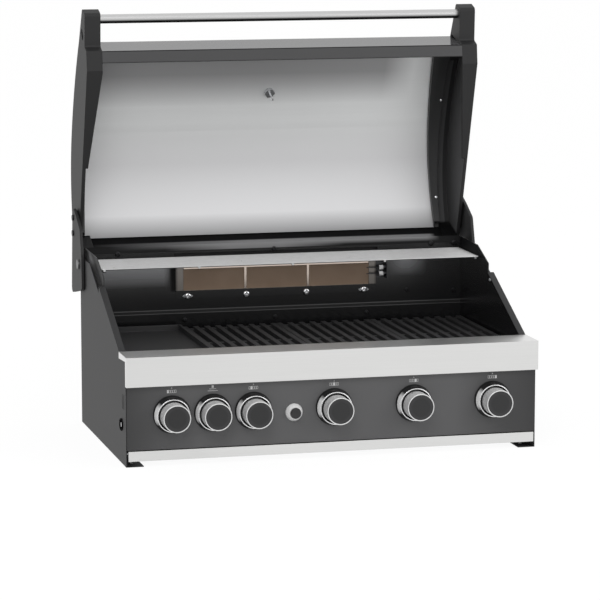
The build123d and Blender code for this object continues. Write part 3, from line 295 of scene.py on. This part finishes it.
def burner_ceramic(name):
    """Cordierite honeycomb tile: dull brown-grey clay with rows of fine flame holes."""
    made, tree, shader, place = material(name, Roughness=0.85)
    # Flame holes of 1.2 mm at a pitch of 2 mm, drawn at 2.5 mm so that they show
    holes = add(tree, "ShaderNodeTexVoronoi", {"Scale": pattern(2.5), "Randomness": 0.0},
                {"Vector": place["Object"]})
    fire = add(tree, "ShaderNodeTexNoise", {"Scale": pattern(40), "Detail": 3.0}, {"Vector": place["Object"]})
    clay = add(tree, "ShaderNodeMix", {6: linear("#8c7765"), 7: linear("#a08a77")}, {0: fire.outputs[0]},
               data_type="RGBA")
    pit = add(tree, "ShaderNodeMapRange", {"From Min": 0.2, "From Max": 0.4},
              {"Value": holes.outputs["Distance"]})
    tint = add(tree, "ShaderNodeMix", {6: linear("#78665a")}, {0: pit.outputs[0], 7: clay.outputs[2]},
               data_type="RGBA")
    tree.links.new(tint.outputs[2], shader.inputs["Base Color"])
    bump = add(tree, "ShaderNodeBump", {"Strength": 0.3, "Distance": 0.5 * MM}, {"Height": pit.outputs[0]})
    tree.links.new(bump.outputs[0], shader.inputs["Normal"])
    return made


def dial_window(name):
    """Float glass over the dial: clear, with a breath of smear."""
    made, tree, shader, place = material(name, Transmission_Weight=1.0, IOR=1.52)
    smear = add(tree, "ShaderNodeTexNoise", {"Scale": pattern(20), "Detail": 3.0},
                {"Vector": place["Object"]})
    rough = add(tree, "ShaderNodeMapRange", {"To Min": 0.0, "To Max": 0.06}, {"Value": smear.outputs[0]})
    tree.links.new(rough.outputs[0], shader.inputs["Roughness"])
    return made


CHARCOAL = powder_coat("charcoal_powder_coat", "#252526", "#2a2a2b", gloss=0.6, shine=0.42)
FASCIA = powder_coat("charcoal_fascia_coat", "#1f1f20", "#242425", gloss=0.45)
RAIL_PAINT = powder_coat("black_rail_coat", "#151516", "#19191a", gloss=0.42)
BAR_PAINT = powder_coat("black_bar_coat", "#404041", "#444445", gloss=0.42)
BAND_STEEL = brushed_stainless("brushed_band_steel", "#d6d6d5", "#dededd", gloss=0.3, strokes=(150, 2, 2))
SKIN_STEEL = brushed_stainless("lid_liner_steel", "#f6f7f7", "#fbfcfc", gloss=0.68, strokes=(150, 4, 4))
TUBE_STEEL = brushed_stainless("brushed_handle_steel", "#bebebe", "#cdcdcd", gloss=0.3,
                               strokes=(150, 1.5, 1.5))
BURNER_STEEL = brushed_stainless("bright_burner_steel", "#b9aca2", "#cabdb2", gloss=0.16, strokes=(60, 2, 2))
ENAMEL = vitreous_enamel("black_firebox_enamel", "#0e0e0f", gloss=0.22, ripple=0.15)
WALL_ENAMEL = vitreous_enamel("black_rear_wall_enamel", "#0e0e0f", gloss=0.22, ripple=0.15)
LINER_ENAMEL = vitreous_enamel("black_enamel_charcoal_back", "#161617", gloss=0.26, ripple=0.1)
LID_ENAMEL = vitreous_enamel("charcoal_lid_enamel", "#505052", gloss=0.1, ripple=0.05)
DEAD_MATT = 0.12
STOVE_PAINT = stove_paint("matt_black_stove_paint", "#080809", shine=DEAD_MATT)
CASTING = sand_casting("black_coated_casting", "#111112", "#161617", gloss=0.6, grain=1.6)
GRATE_IRON = sand_casting("enamelled_cast_iron", "#202021", "#272728", gloss=0.62, grain=2.2)
CHROME = plain_metal("bright_chrome_plate", "#dedee0", "#ececee", gloss=0.14)
BEZEL_CHROME = plain_metal("rounded_chrome_bezel", "#ececed", "#fafafb", gloss=0.2, rounding=5)
PIN_STEEL = plain_metal("drawn_pin_steel", "#707071", "#868687", gloss=0.42)
RACK_WIRE = plain_metal("chromed_rack_wire", "#b6b6b6", "#c8c8c8", gloss=0.3)
ZINC = plain_metal("zinc_plated_steel", "#a9abad", "#c4c6c8", gloss=0.28)
BLACK_ZINC = plain_metal("black_zinc_bolt", "#2a2a2b", "#3a3a3b", gloss=0.4)
SATIN_STEEL = plain_metal("satin_burner_tube_steel", "#a8a7a4", "#bdbcb8", gloss=0.34)
IGNITER = plain_metal("igniter_steel", "#3a3a3c", "#58585a", gloss=0.35)
BRASS = plain_metal("machined_brass", "#b8954f", "#cdaa62", gloss=0.25)
PLASTIC = moulded_plastic("black_phenolic", "#1c1c1d", gloss=0.34)
PRINT = moulded_plastic("white_screen_print", "#dcdcdc", gloss=0.6)
CARD = moulded_plastic("white_dial_card", "#e6e6e2", gloss=0.7)
INK = moulded_plastic("black_dial_ink", "#18181a", gloss=0.6)
TILE = burner_ceramic("cordierite_tile")
GLASS = dial_window("dial_glass")

# Outer faces of the liner's ears carry the casing's coat, and are painted paler grey low in the gap beside
# the panels, a painted light against the shade there
for side in SIDES.values():
    ear = ((side, 0, 0), EAR_OUTSIDE - 0.4, FAR, 0.1)
    zone(LINER_ENAMEL, [ear], "#202021", 0.56, shine=0.3)
    zone(LINER_ENAMEL, [ear, (OFF_SLOPE, -FAR, 256, 9)], "#959596", 0.56, shine=0.3)
# Inside, the ears are sooted above the rack
between_ears = (RIGHT, -EAR_INSIDE - 0.2, EAR_INSIDE + 0.2, 0.1)
zone(LINER_ENAMEL, [(UP, RACK_FOOT + 2.5, FAR, 2), between_ears], "#0e0e0f", 0.6, shine=0.08)
# The rear wall is a little paler at its right end. Its lip is dark and dull, with a painted grey reflection
# above it
zone(WALL_ENAMEL, [(RIGHT, 300, FAR, 60)], "#1e1e1f", 0.22)
zone(WALL_ENAMEL, [(UP, 355.5, FAR, 0.5)], "#0e0e0f", 0.6, shine=0.15)
zone(WALL_ENAMEL, [(UP, 357.5, FAR, 1), (RIGHT, -170, 80, 70)], "#727273", 0.4)
zone(WALL_ENAMEL, [(UP, 363.5, FAR, 4), (RIGHT, -220, FAR, 140), (RIGHT, -FAR, 348, 14)], "#828283", 0.4)
# The same painted grey reflection on the lid's rear flange
zone(STOVE_PAINT, [(TO_BACK, -FAR, HINGE_V + 83, 2), (RIGHT, -220, FAR, 180), (RIGHT, -FAR, 362, 6)],
     "#8a8a8b", 0.85, shine=DEAD_MATT, facing=[(OFF_SLOPE, 0.9, FAR, 0.05)])
# Under the rack painted reflections show on both sides of the rear burner, with a painted shadow in the gap
# beside the frame on the left
under_rack = (UP, -FAR, RACK_FOOT + 2.5, 2)
zone(WALL_ENAMEL, [(UP, 304, FAR, 24), under_rack, (RIGHT, -FAR, -236, 8)], "#b2b3b6", 0.35)
zone(WALL_ENAMEL, [(UP, 270, 338, 4), (RIGHT, -230, -200, 4)], "#0c0c0d", 0.6, shine=0.15)
zone(WALL_ENAMEL, [(UP, 306, FAR, 20), under_rack, (RIGHT, 256, 312, 20)], "#a2a3a6", 0.35)
# The step between the two faces of the wall is painted near black, a painted shade in the step
zone(WALL_ENAMEL, [(UP, 225.4, 230.6, 0.5)], "#060606", 0.9)
# The lid's liner is painted darker under the handle and towards the hinge, painted shade in its reflection
zone(SKIN_STEEL, [(TO_HANDLE, HINGE_U + 312, FAR, 38), (RIGHT, -420, 280, 32)], "#bbbbbc", 0.68, 1.0)
zone(SKIN_STEEL, [(TO_HANDLE, -FAR, HINGE_U + 190, 45)], "#e1e1e2", 0.68, 1.0)
zone(SKIN_STEEL, [(TO_HANDLE, -FAR, HINGE_U + 27.5, 17.5)], "#a5a5a6", 0.68, 1.0)
# Its right edge, behind the rail, is painted
zone(SKIN_STEEL, [(RIGHT, 374, FAR, 0.2)], "#161617", 0.5)
# The ends of the burner frame are painted darker and its foot near black, painted reflections of the dark
# wall and grates before them
for side in SIDES.values():
    zone(BURNER_STEEL, [((side, 0, 0), 201, FAR, 0.5)], "#7c7874", 0.3, 1.0)
    zone(BURNER_STEEL, [((side, 0, 0), 216, FAR, 3)], "#4a4846", 0.3, 1.0)
zone(BURNER_STEEL, [(UP, -FAR, 272.2, 0.4)], "#121213", 0.25)
# Painted light: the fascia is paler between its end knobs, where light pools
zone(FASCIA, [(RIGHT, -380, FAR, 70), (RIGHT, -FAR, 345, 95)], "#5a5a5b", 0.45)
# White glazed collars of the igniter's insulators
zone(IGNITER, [(RIGHT, 221.5, 230.5, 0.3), (BACK, -FAR, 226, 0.1)], "#ffffff", 0.5)
# The right cap is painted paler along the rail and in its hollow, a painted light against the shade there,
# and near black at its foot
behind_rim = (TO_BACK, HINGE_V + 62, FAR, 1)
zone(CASTING, [(RIGHT, 380, 401.5, 0.5), behind_rim, (TO_HANDLE, -FAR, HINGE_U + 370, 1)], "#444445", 0.6,
     facing=[(FRONT, 0.8, FAR, 0.02)])
zone(CASTING, [(RIGHT, 409, 412, 0.2), behind_rim], "#484849", 0.6, facing=[(LEFT, 0.9, FAR, 0.02)])
zone(CASTING, [(RIGHT, 380, 411.5, 0.2), (TO_HANDLE, -FAR, HINGE_U + 14, 3)], "#0c0c0d", 0.7, shine=0.1)
# The right rail is painted paler towards the cap, as painted light
zone(RAIL_PAINT, [(RIGHT, 375, FAR, 8)], "#2c2c2d", 0.42)
# Both long edges of the bar are painted dark, painted shadow lines where it meets the parts beside it
zone(BAR_PAINT, [(TO_HANDLE, HINGE_U + 442, FAR, 0.3)], "#0c0c0d", 0.8)
zone(BAR_PAINT, [(TO_HANDLE, -FAR, HINGE_U + 422.3, 0.3)], "#0c0c0d", 0.8)
# Painted shade: the underside of the handle is darker
zone(TUBE_STEEL, [], "#2a2a2b", 0.4, 1.0, facing=[(UNDER_HANDLE, -0.02, FAR, 0.24)])
# The bezels of the knobs are painted dark on their slopes as painted shade, with a painted highlight on their
# left sides, and a painted dark band at their foot for the shade against the panel
zone(BEZEL_CHROME, [], "#141415", 0.3, facing=[(BACK, -0.8, FAR, 0.05)])
zone(BEZEL_CHROME, [], "#f4f4f4", 0.5, facing=[((-0.995, 0, 0.1), 0.82, FAR, 0.08)])
zone(BEZEL_CHROME, [(BACK, PANEL_FACE - 7, FAR, 0.3)], "#0f0f10", 0.6)
# The bezel of the ignition button is painted white all over, a painted reflection of bright chrome
zone(BEZEL_CHROME, [(RIGHT, -110, -55, 0.5)], "#ffffff", 0.3)
# Only the heads of the hinge pins are bare
zone(PIN_STEEL, [(RIGHT, -ARM_OUTSIDE - 0.1, ARM_OUTSIDE + 0.1, 0.1)], "#1c1c1d", 0.5, 1.0)

FINISHES = {
    CHARCOAL: ["side_panel_left", "side_panel_right", "rear_panel"],
    FASCIA: ["control_panel"],
    BAND_STEEL: ["front_band", "tray_front"],
    TUBE_STEEL: ["handle_tube"],
    SKIN_STEEL: ["lid_inner_skin"],
    BURNER_STEEL: ["rear_burner_frame", "rear_burner_housing"],
    ENAMEL: ["firebox_wall_front", "support_ledges"],
    WALL_ENAMEL: ["firebox_wall_rear"],
    LINER_ENAMEL: ["firebox_wall_left", "firebox_wall_right"],
    LID_ENAMEL: ["lid_outer_skin"],
    STOVE_PAINT: ["lid_rear_panel"],
    CASTING: ["lid_end_left", "lid_end_right", "hinge_arm_left", "hinge_arm_right"],
    RAIL_PAINT: ["lid_side_rail_left", "lid_side_rail_right"],
    BAR_PAINT: ["lid_front_bar"],
    GRATE_IRON: ["grate_1", "grate_2", "grate_3", "griddle"],
    CHROME: ["thermometer_case"],
    BEZEL_CHROME: ["control_bezels"],
    PIN_STEEL: ["hinge_pins"],
    RACK_WIRE: ["warming_rack"],
    BLACK_ZINC: ["arm_bolts"],
    ZINC: ["thermometer_nut", "gas_manifold", "rear_gas_line", "tray_runners", "drip_tray"],
    SATIN_STEEL: ["main_burners", "flame_tamers"],
    BRASS: ["valve_bodies"] + [f"valve_rotor_{number}" for number in range(1, 7)],
    PLASTIC: ["ignition_button", "ignition_module", "thermometer_pointer"],
    IGNITER: ["rear_igniter"],
    TILE: ["rear_burner_tiles"],
    GLASS: ["thermometer_glass"],
}
for number, centre in enumerate(KNOBS, 1):
    FINISHES[shelled_knob(number, centre)] = [f"knob_{number}"]
for finish, names in FINISHES.items():
    for name in names:
        slots = frame["nodes"][name].data.materials
        slots.clear()
        slots.append(finish)


# Fasteners and small trim

def trim(name, points, faces, finish, body, slot):
    """Added piece that moves with a body of the frame."""
    mesh = bpy.data.meshes.new(name)
    mesh.from_pydata([Vector(point) * MM for point in points], [], faces)
    mesh.materials.append(finish)
    made = bpy.data.objects.new(name, mesh)
    bpy.context.scene.collection.objects.link(made)
    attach(made, body)


def turned_heads(places, axis, profile, sides=24, recess=0.0):
    """Heads of one profile, (radius, height) from the seat up, with a cross recess of that half length."""
    axis = Vector(axis).normalized()
    right = axis.orthogonal().normalized()
    ahead = axis.cross(right)
    # A little off the axes, so that the recess has no division by nothing
    turns = [2 * pi * k / sides + 0.01 for k in range(sides)]
    rings = [[(radius, height)] * sides for radius, height in profile]
    if recess:
        top = profile[-1][1]
        wide = recess * 0.28
        cross = [max(min(recess / abs(cos(turn)), wide / abs(sin(turn))),
                     min(recess / abs(sin(turn)), wide / abs(cos(turn)))) for turn in turns]
        rings.append([(radius, top) for radius in cross])
        rings.append([(radius * 0.7, top - recess * 0.6) for radius in cross])
    points, faces = [], []
    for place in places:
        start = len(points)
        for ring in rings:
            for turn, (radius, height) in zip(turns, ring):
                outward = right * cos(turn) + ahead * sin(turn)
                points.append(Vector(place) + axis * height + outward * radius)
        for row in range(len(rings) - 1):
            low = start + row * sides
            for k in range(sides):
                after = (k + 1) % sides
                faces.append((low + k, low + after, low + sides + after, low + sides + k))
        faces.append(tuple(range(start + (len(rings) - 1) * sides, start + len(rings) * sides)))
    return points, faces


def screws(name, places, axis, radius, recess, finish, body="casing", slot="plated_steel"):
    """Pan-head screws that all face one way."""
    shoulder, brow, crown = radius * 0.25, radius * 0.5, radius * 0.6
    head = [(radius, -0.3), (radius, shoulder), (radius * 0.85, brow), (radius * 0.6, crown)]
    trim(name, *turned_heads(places, axis, head, recess=recess), finish, body, slot)


def plates(outlines, origin, right, up, out, depth):
    """Flat shapes, each an outline on one plane, that stand out from it by a depth."""
    origin, right, up, out = (Vector(v) for v in (origin, right, up, out))
    points, faces = [], []
    for outline in outlines:
        start, count = len(points), len(outline)
        for lift in (0.0, depth):
            points += [origin + right * x + up * y + out * lift for x, y in outline]
        faces.append(tuple(start + count + k for k in range(count)))
        faces.append(tuple(start + k for k in reversed(range(count))))
        faces += [(start + k, start + (k + 1) % count, start + count + (k + 1) % count, start + count + k)
                  for k in range(count)]
    return points, faces


def bar(left, end, low, high):
    """Outline of an upright rectangle."""
    return [(left, low), (end, low), (end, high), (left, high)]


screws("rear_wall_screws", [(-200, LOWER_WALL, 211), (-4, LOWER_WALL, 210), (197, LOWER_WALL, 211.5),
                            (287, UPPER_WALL, 256), (392, UPPER_WALL, 252)], FRONT, 4.6, 2.4, BLACK_ZINC)
screws("rear_lip_screws", [(-342, UPPER_WALL, 354), (-5.6, UPPER_WALL, 354.5), (341, UPPER_WALL, 354.5),
                           (392, UPPER_WALL, 354.5)], FRONT, 5.6, 2.8, BLACK_ZINC)
for side, sign in SIDES.items():
    screws(f"liner_screw_{side}", [(sign * EAR_INSIDE, 21, 303)], (-sign, 0, 0), 4, 2.2, ZINC)
screws("rear_panel_screws", [(x, CASE_REAR, z) for x in (-400, -200, 0, 200, 400) for z in (30, 335)], BACK,
       4.5, 2.4, BLACK_ZINC, slot="charcoal_casing")
screws("rail_screw_upper", [(380, 293.6, 656.3)], (0, -0.92, -0.4), 3.2, 1.7, CHROME, body="lid")
screws("rail_screw_lower", [(379.6, 324.5, 442.6)], (0, -0.98, 0.19), 3.2, 1.7, CHROME, body="lid")

# Bolts under the rear burner, the outer two through spring clips
BOLT_XS = (-193, -66.5, 64.5, 191)
BOLT_Y, BOLT_Z = 230, 260.5
CLIP = [(-12, 0), (-6, -3.6), (6, -3.6), (12, 0), (6, 3.6), (-6, 3.6)]
screws("burner_bolts", [(x, BOLT_Y, BOLT_Z) for x in BOLT_XS], FRONT, 6.8, 2.8, CHROME)
clips = [[(x + dx, BOLT_Z + dz) for dx, dz in CLIP] for x in (BOLT_XS[0], BOLT_XS[-1])]
trim("burner_clips", *plates(clips, (0, BOLT_Y + 0.1, 0), RIGHT, UP, FRONT, 0.8), ZINC, "casing",
     "plated_steel")

# Corners of the rear panel turned up behind the hinges
CORNER = [(408.4, 348), (418.4, 348), (418.4, 359), (415, 363), (408.4, 363)]
# The band's ends turn down over the side panels, a little deeper at the back
BAND_END = [(CASE_FRONT, 209.5), (BAND_BACK, 206), (BAND_BACK, BAND_TOP - SHEET),
            (CASE_FRONT, BAND_TOP - SHEET)]
for side, sign in SIDES.items():
    outline = [(sign * x, z) for x, z in CORNER][::sign]
    corner = plates([outline], (0, CASE_REAR - 0.6, 0), RIGHT, UP, FRONT, 1.0)
    trim(f"hinge_corner_{side}", *corner, CHARCOAL, "casing", "charcoal_casing")
    turned = plates([BAND_END[::sign]], (sign * CASE_SIDE, 0, 0), BACK, UP, (sign, 0, 0), 1.0)
    trim(f"band_end_{side}", *turned, BAND_STEEL, "casing", "brushed_stainless")

# Painted steel grommet in the left panel, with the end of a plugged fitting in it
GROMMET = (-CASE_SIDE, -200, 78)
GROMMET_PROFILE = [(12.5, 0), (12.5, 2), (11.6, 3), (10.2, 2.6), (9.8, 0.2)]
FITTING_PROFILE = [(5.6, 0.2), (5.6, 0.9), (4.8, 1.3)]
trim("side_grommet", *turned_heads([GROMMET], LEFT, GROMMET_PROFILE), STOVE_PAINT, "casing", "black_enamel")
trim("side_fitting", *turned_heads([GROMMET], LEFT, FITTING_PROFILE, sides=6), CHROME, "casing",
     "plated_steel")


# Marks over the knobs

def burner_sign(x, filled):
    """Five boxes in a row, with the one that the knob feeds filled in, under a small upright mark."""
    shapes = []
    for i in range(5):
        left = x - 9.4 + i * 3.8
        if i == filled:
            shapes.append(bar(left, left + 3.4, -3.2, 3.2))
        else:
            shapes += [bar(left, left + 3.4, 2.4, 2.9), bar(left, left + 3.4, -2.9, -2.4),
                       bar(left, left + 0.5, -2.4, 2.4), bar(left + 2.9, left + 3.4, -2.4, 2.4)]
    return shapes + [bar(x - 1.6, x + 1.6, 5.6, 6.1), bar(x - 0.3, x + 0.3, 6.1, 8.2)]


def rear_sign(x):
    """The rear burner over two levels of grate."""
    return [bar(x - 2, x + 2, 3.6, 8.4), bar(x - 7, x + 7, 1.2, 1.9), bar(x - 10, x + 10, -2.6, -1.9)]


SIGN_Z = 147.5
REAR_KNOB = 1
signs = rear_sign(KNOBS[REAR_KNOB].x)
for filled, knob in enumerate(KNOBS[:REAR_KNOB] + KNOBS[REAR_KNOB + 1:]):
    signs += burner_sign(knob.x, filled)
trim("burner_signs", *plates(signs, (0, PANEL_FACE, SIGN_Z), RIGHT, UP, FRONT, 0.15), PRINT, "casing",
     "charcoal_casing")


# Dial: a card with a scale of temperature under the glass, upright when the lid is shut

DIAL_OUT = -Vector(JOINTS["thermometer_turn"]["axis"])
DIAL_UP = DIAL_OUT.cross(Vector(RIGHT))
CARD_AT = pivot("thermometer_turn") + DIAL_OUT * 7.0
CARD_PROFILE = [(31.6, 0.02), (31.6, 0.1), (1.8, 0.1), (1.8, 0.02)]
trim("dial_card", *turned_heads([CARD_AT], DIAL_OUT, CARD_PROFILE, sides=48), CARD, "lid", "bright_chrome")

# Scale from 0 to 400 degrees Celsius round three quarters of the card
SCALE_START, SCALE_SWEEP, SCALE_STEPS = 225, 270, 16
STEPS_PER_FIGURE = 4
FIGURE_REACH, FIGURE_SIZE, FIGURE_PITCH = 20.5, 2.2, 3.1
# Strokes of a figure 1 wide and 2 high: top, upper left, upper right, middle, lower left, lower right, foot
STROKES = [(0, 1, 1.8, 2), (0, 0.2, 1, 2), (0.8, 1, 1, 2), (0, 1, 0.9, 1.1), (0, 0.2, 0, 1), (0.8, 1, 0, 1),
           (0, 1, 0, 0.2)]
FIGURES = {"0": (0, 1, 2, 4, 5, 6), "1": (2, 5), "2": (0, 2, 3, 4, 6), "3": (0, 2, 3, 5, 6),
           "4": (1, 2, 3, 5)}


def figures(number):
    """Outlines of a number's figures, centred."""
    first = -(len(number) - 1) * FIGURE_PITCH / 2 - FIGURE_SIZE / 2
    shapes = []
    for i, figure in enumerate(number):
        left = first + i * FIGURE_PITCH
        for start, end, low, high in (STROKES[stroke] for stroke in FIGURES[figure]):
            shapes.append(bar(left + FIGURE_SIZE * start, left + FIGURE_SIZE * end,
                              FIGURE_SIZE * (low - 1), FIGURE_SIZE * (high - 1)))
    return shapes


def dial_print():
    """Ticks every 25 degrees Celsius, and a number at each hundred."""
    points, faces = [], []
    for step in range(SCALE_STEPS + 1):
        turn = radians(SCALE_START - step * SCALE_SWEEP / SCALE_STEPS)
        outward = Vector(RIGHT) * cos(turn) + DIAL_UP * sin(turn)
        along = Vector(RIGHT) * sin(turn) - DIAL_UP * cos(turn)
        if step % STEPS_PER_FIGURE:
            groups = [([bar(-0.3, 0.3, 27.5, 30.5)], CARD_AT, along, outward)]
        else:
            number = figures(str(step // STEPS_PER_FIGURE * 100))
            groups = [([bar(-0.5, 0.5, 25.5, 30.5)], CARD_AT, along, outward),
                      (number, CARD_AT + outward * FIGURE_REACH, RIGHT, DIAL_UP)]
        for shapes, origin, right, up in groups:
            more, sides = plates(shapes, origin + DIAL_OUT * 0.1, right, up, DIAL_OUT, 0.08)
            faces += [tuple(i + len(points) for i in side) for side in sides]
            points += more
    return points, faces


trim("dial_scale", *dial_print(), INK, "lid", "pointer_black")


# Studio, in metres

def seen_by(tree, *rays):
    """One for these kinds of ray, which show the studio, and zero for those that light the object."""
    path = add(tree, "ShaderNodeLightPath").outputs
    seen = path[rays[0]]
    for ray in rays[1:]:
        seen = add(tree, "ShaderNodeMath", links={0: seen, 1: path[ray]}, operation="MAXIMUM").outputs[0]
    return seen


def studio_paper(name, shade):
    """Matt paper: white to the camera and in reflections, and lit like paper for everything else."""
    made, tree, shader, _ = material(name, Base_Color=linear(shade), Roughness=0.9)
    seen = seen_by(tree, "Is Camera Ray", "Is Glossy Ray")
    part = add(tree, "ShaderNodeMath", {1: 0.85}, {0: seen}, operation="MULTIPLY")
    glow = add(tree, "ShaderNodeEmission", {"Color": (1, 1, 1, 1), "Strength": 1.08})
    mix = add(tree, "ShaderNodeMixShader",
              links={0: part.outputs[0], 1: shader.outputs[0], 2: glow.outputs[0]})
    tree.links.new(mix.outputs[0], tree.nodes["Material Output"].inputs["Surface"])
    return made


def lamp(name, place, target, size, power):
    """Square soft box that faces a target."""
    data = bpy.data.lights.new(name, "AREA")
    data.size = size
    data.energy = power
    made = bpy.data.objects.new(name, data)
    made.location = place
    made.rotation_mode = "QUATERNION"
    made.rotation_quaternion = (Vector(target) - Vector(place)).to_track_quat("-Z", "Y")
    bpy.context.scene.collection.objects.link(made)


FLOOR = 30
floor_mesh = bpy.data.meshes.new("floor")
floor_mesh.from_pydata([(x, y, 0) for x, y in bar(-FLOOR, FLOOR, -FLOOR, FLOOR)], [], [(0, 1, 2, 3)])
floor_mesh.materials.append(studio_paper("studio_paper", "#f2f2f2"))
floor = bpy.data.objects.new("floor", floor_mesh)
bpy.context.scene.collection.objects.link(floor)

world = bpy.data.worlds.new("studio")
bpy.context.scene.world = world
world.use_nodes = True
sky = world.node_tree
sky.nodes.clear()
shown = seen_by(sky, "Is Camera Ray", "Is Glossy Ray", "Is Transmission Ray")
soft = add(sky, "ShaderNodeBackground", {"Color": (1, 1, 1, 1), "Strength": 0.55})
white = add(sky, "ShaderNodeBackground", {"Color": (1, 1, 1, 1), "Strength": 1.0})
mixed = add(sky, "ShaderNodeMixShader", links={0: shown, 1: soft.outputs[0], 2: white.outputs[0]})
add(sky, "ShaderNodeOutputWorld", links={"Surface": mixed.outputs[0]})

LIT_PLACE = (0, 0, 0.3)
lamp("key", (-1.6, -4.2, 3.6), LIT_PLACE, 2.4, 60)
lamp("fill", (2.8, -3.0, 1.8), LIT_PLACE, 2.0, 22)

# Camera fitted to the photograph: its focal length in pixels, the picture's width, its tilt and its heading
FOCAL_PIXELS = 3042.27
PICTURE_PIXELS = 600
SENSOR_WIDTH = 36
TILT_DOWN = 0.1528
HEADING = -0.2487
eye = bpy.data.cameras.new("photograph")
eye.sensor_width = SENSOR_WIDTH
eye.lens = FOCAL_PIXELS * SENSOR_WIDTH / PICTURE_PIXELS
eye.clip_end = 100
camera = bpy.data.objects.new("photograph", eye)
camera.location = (-1.5227, -5.96605, 1.2273)
camera.rotation_euler = (pi / 2 - TILT_DOWN, 0, HEADING)
bpy.context.scene.collection.objects.link(camera)
bpy.context.scene.camera = camera
bpy.context.scene.view_settings.view_transform = "Standard"
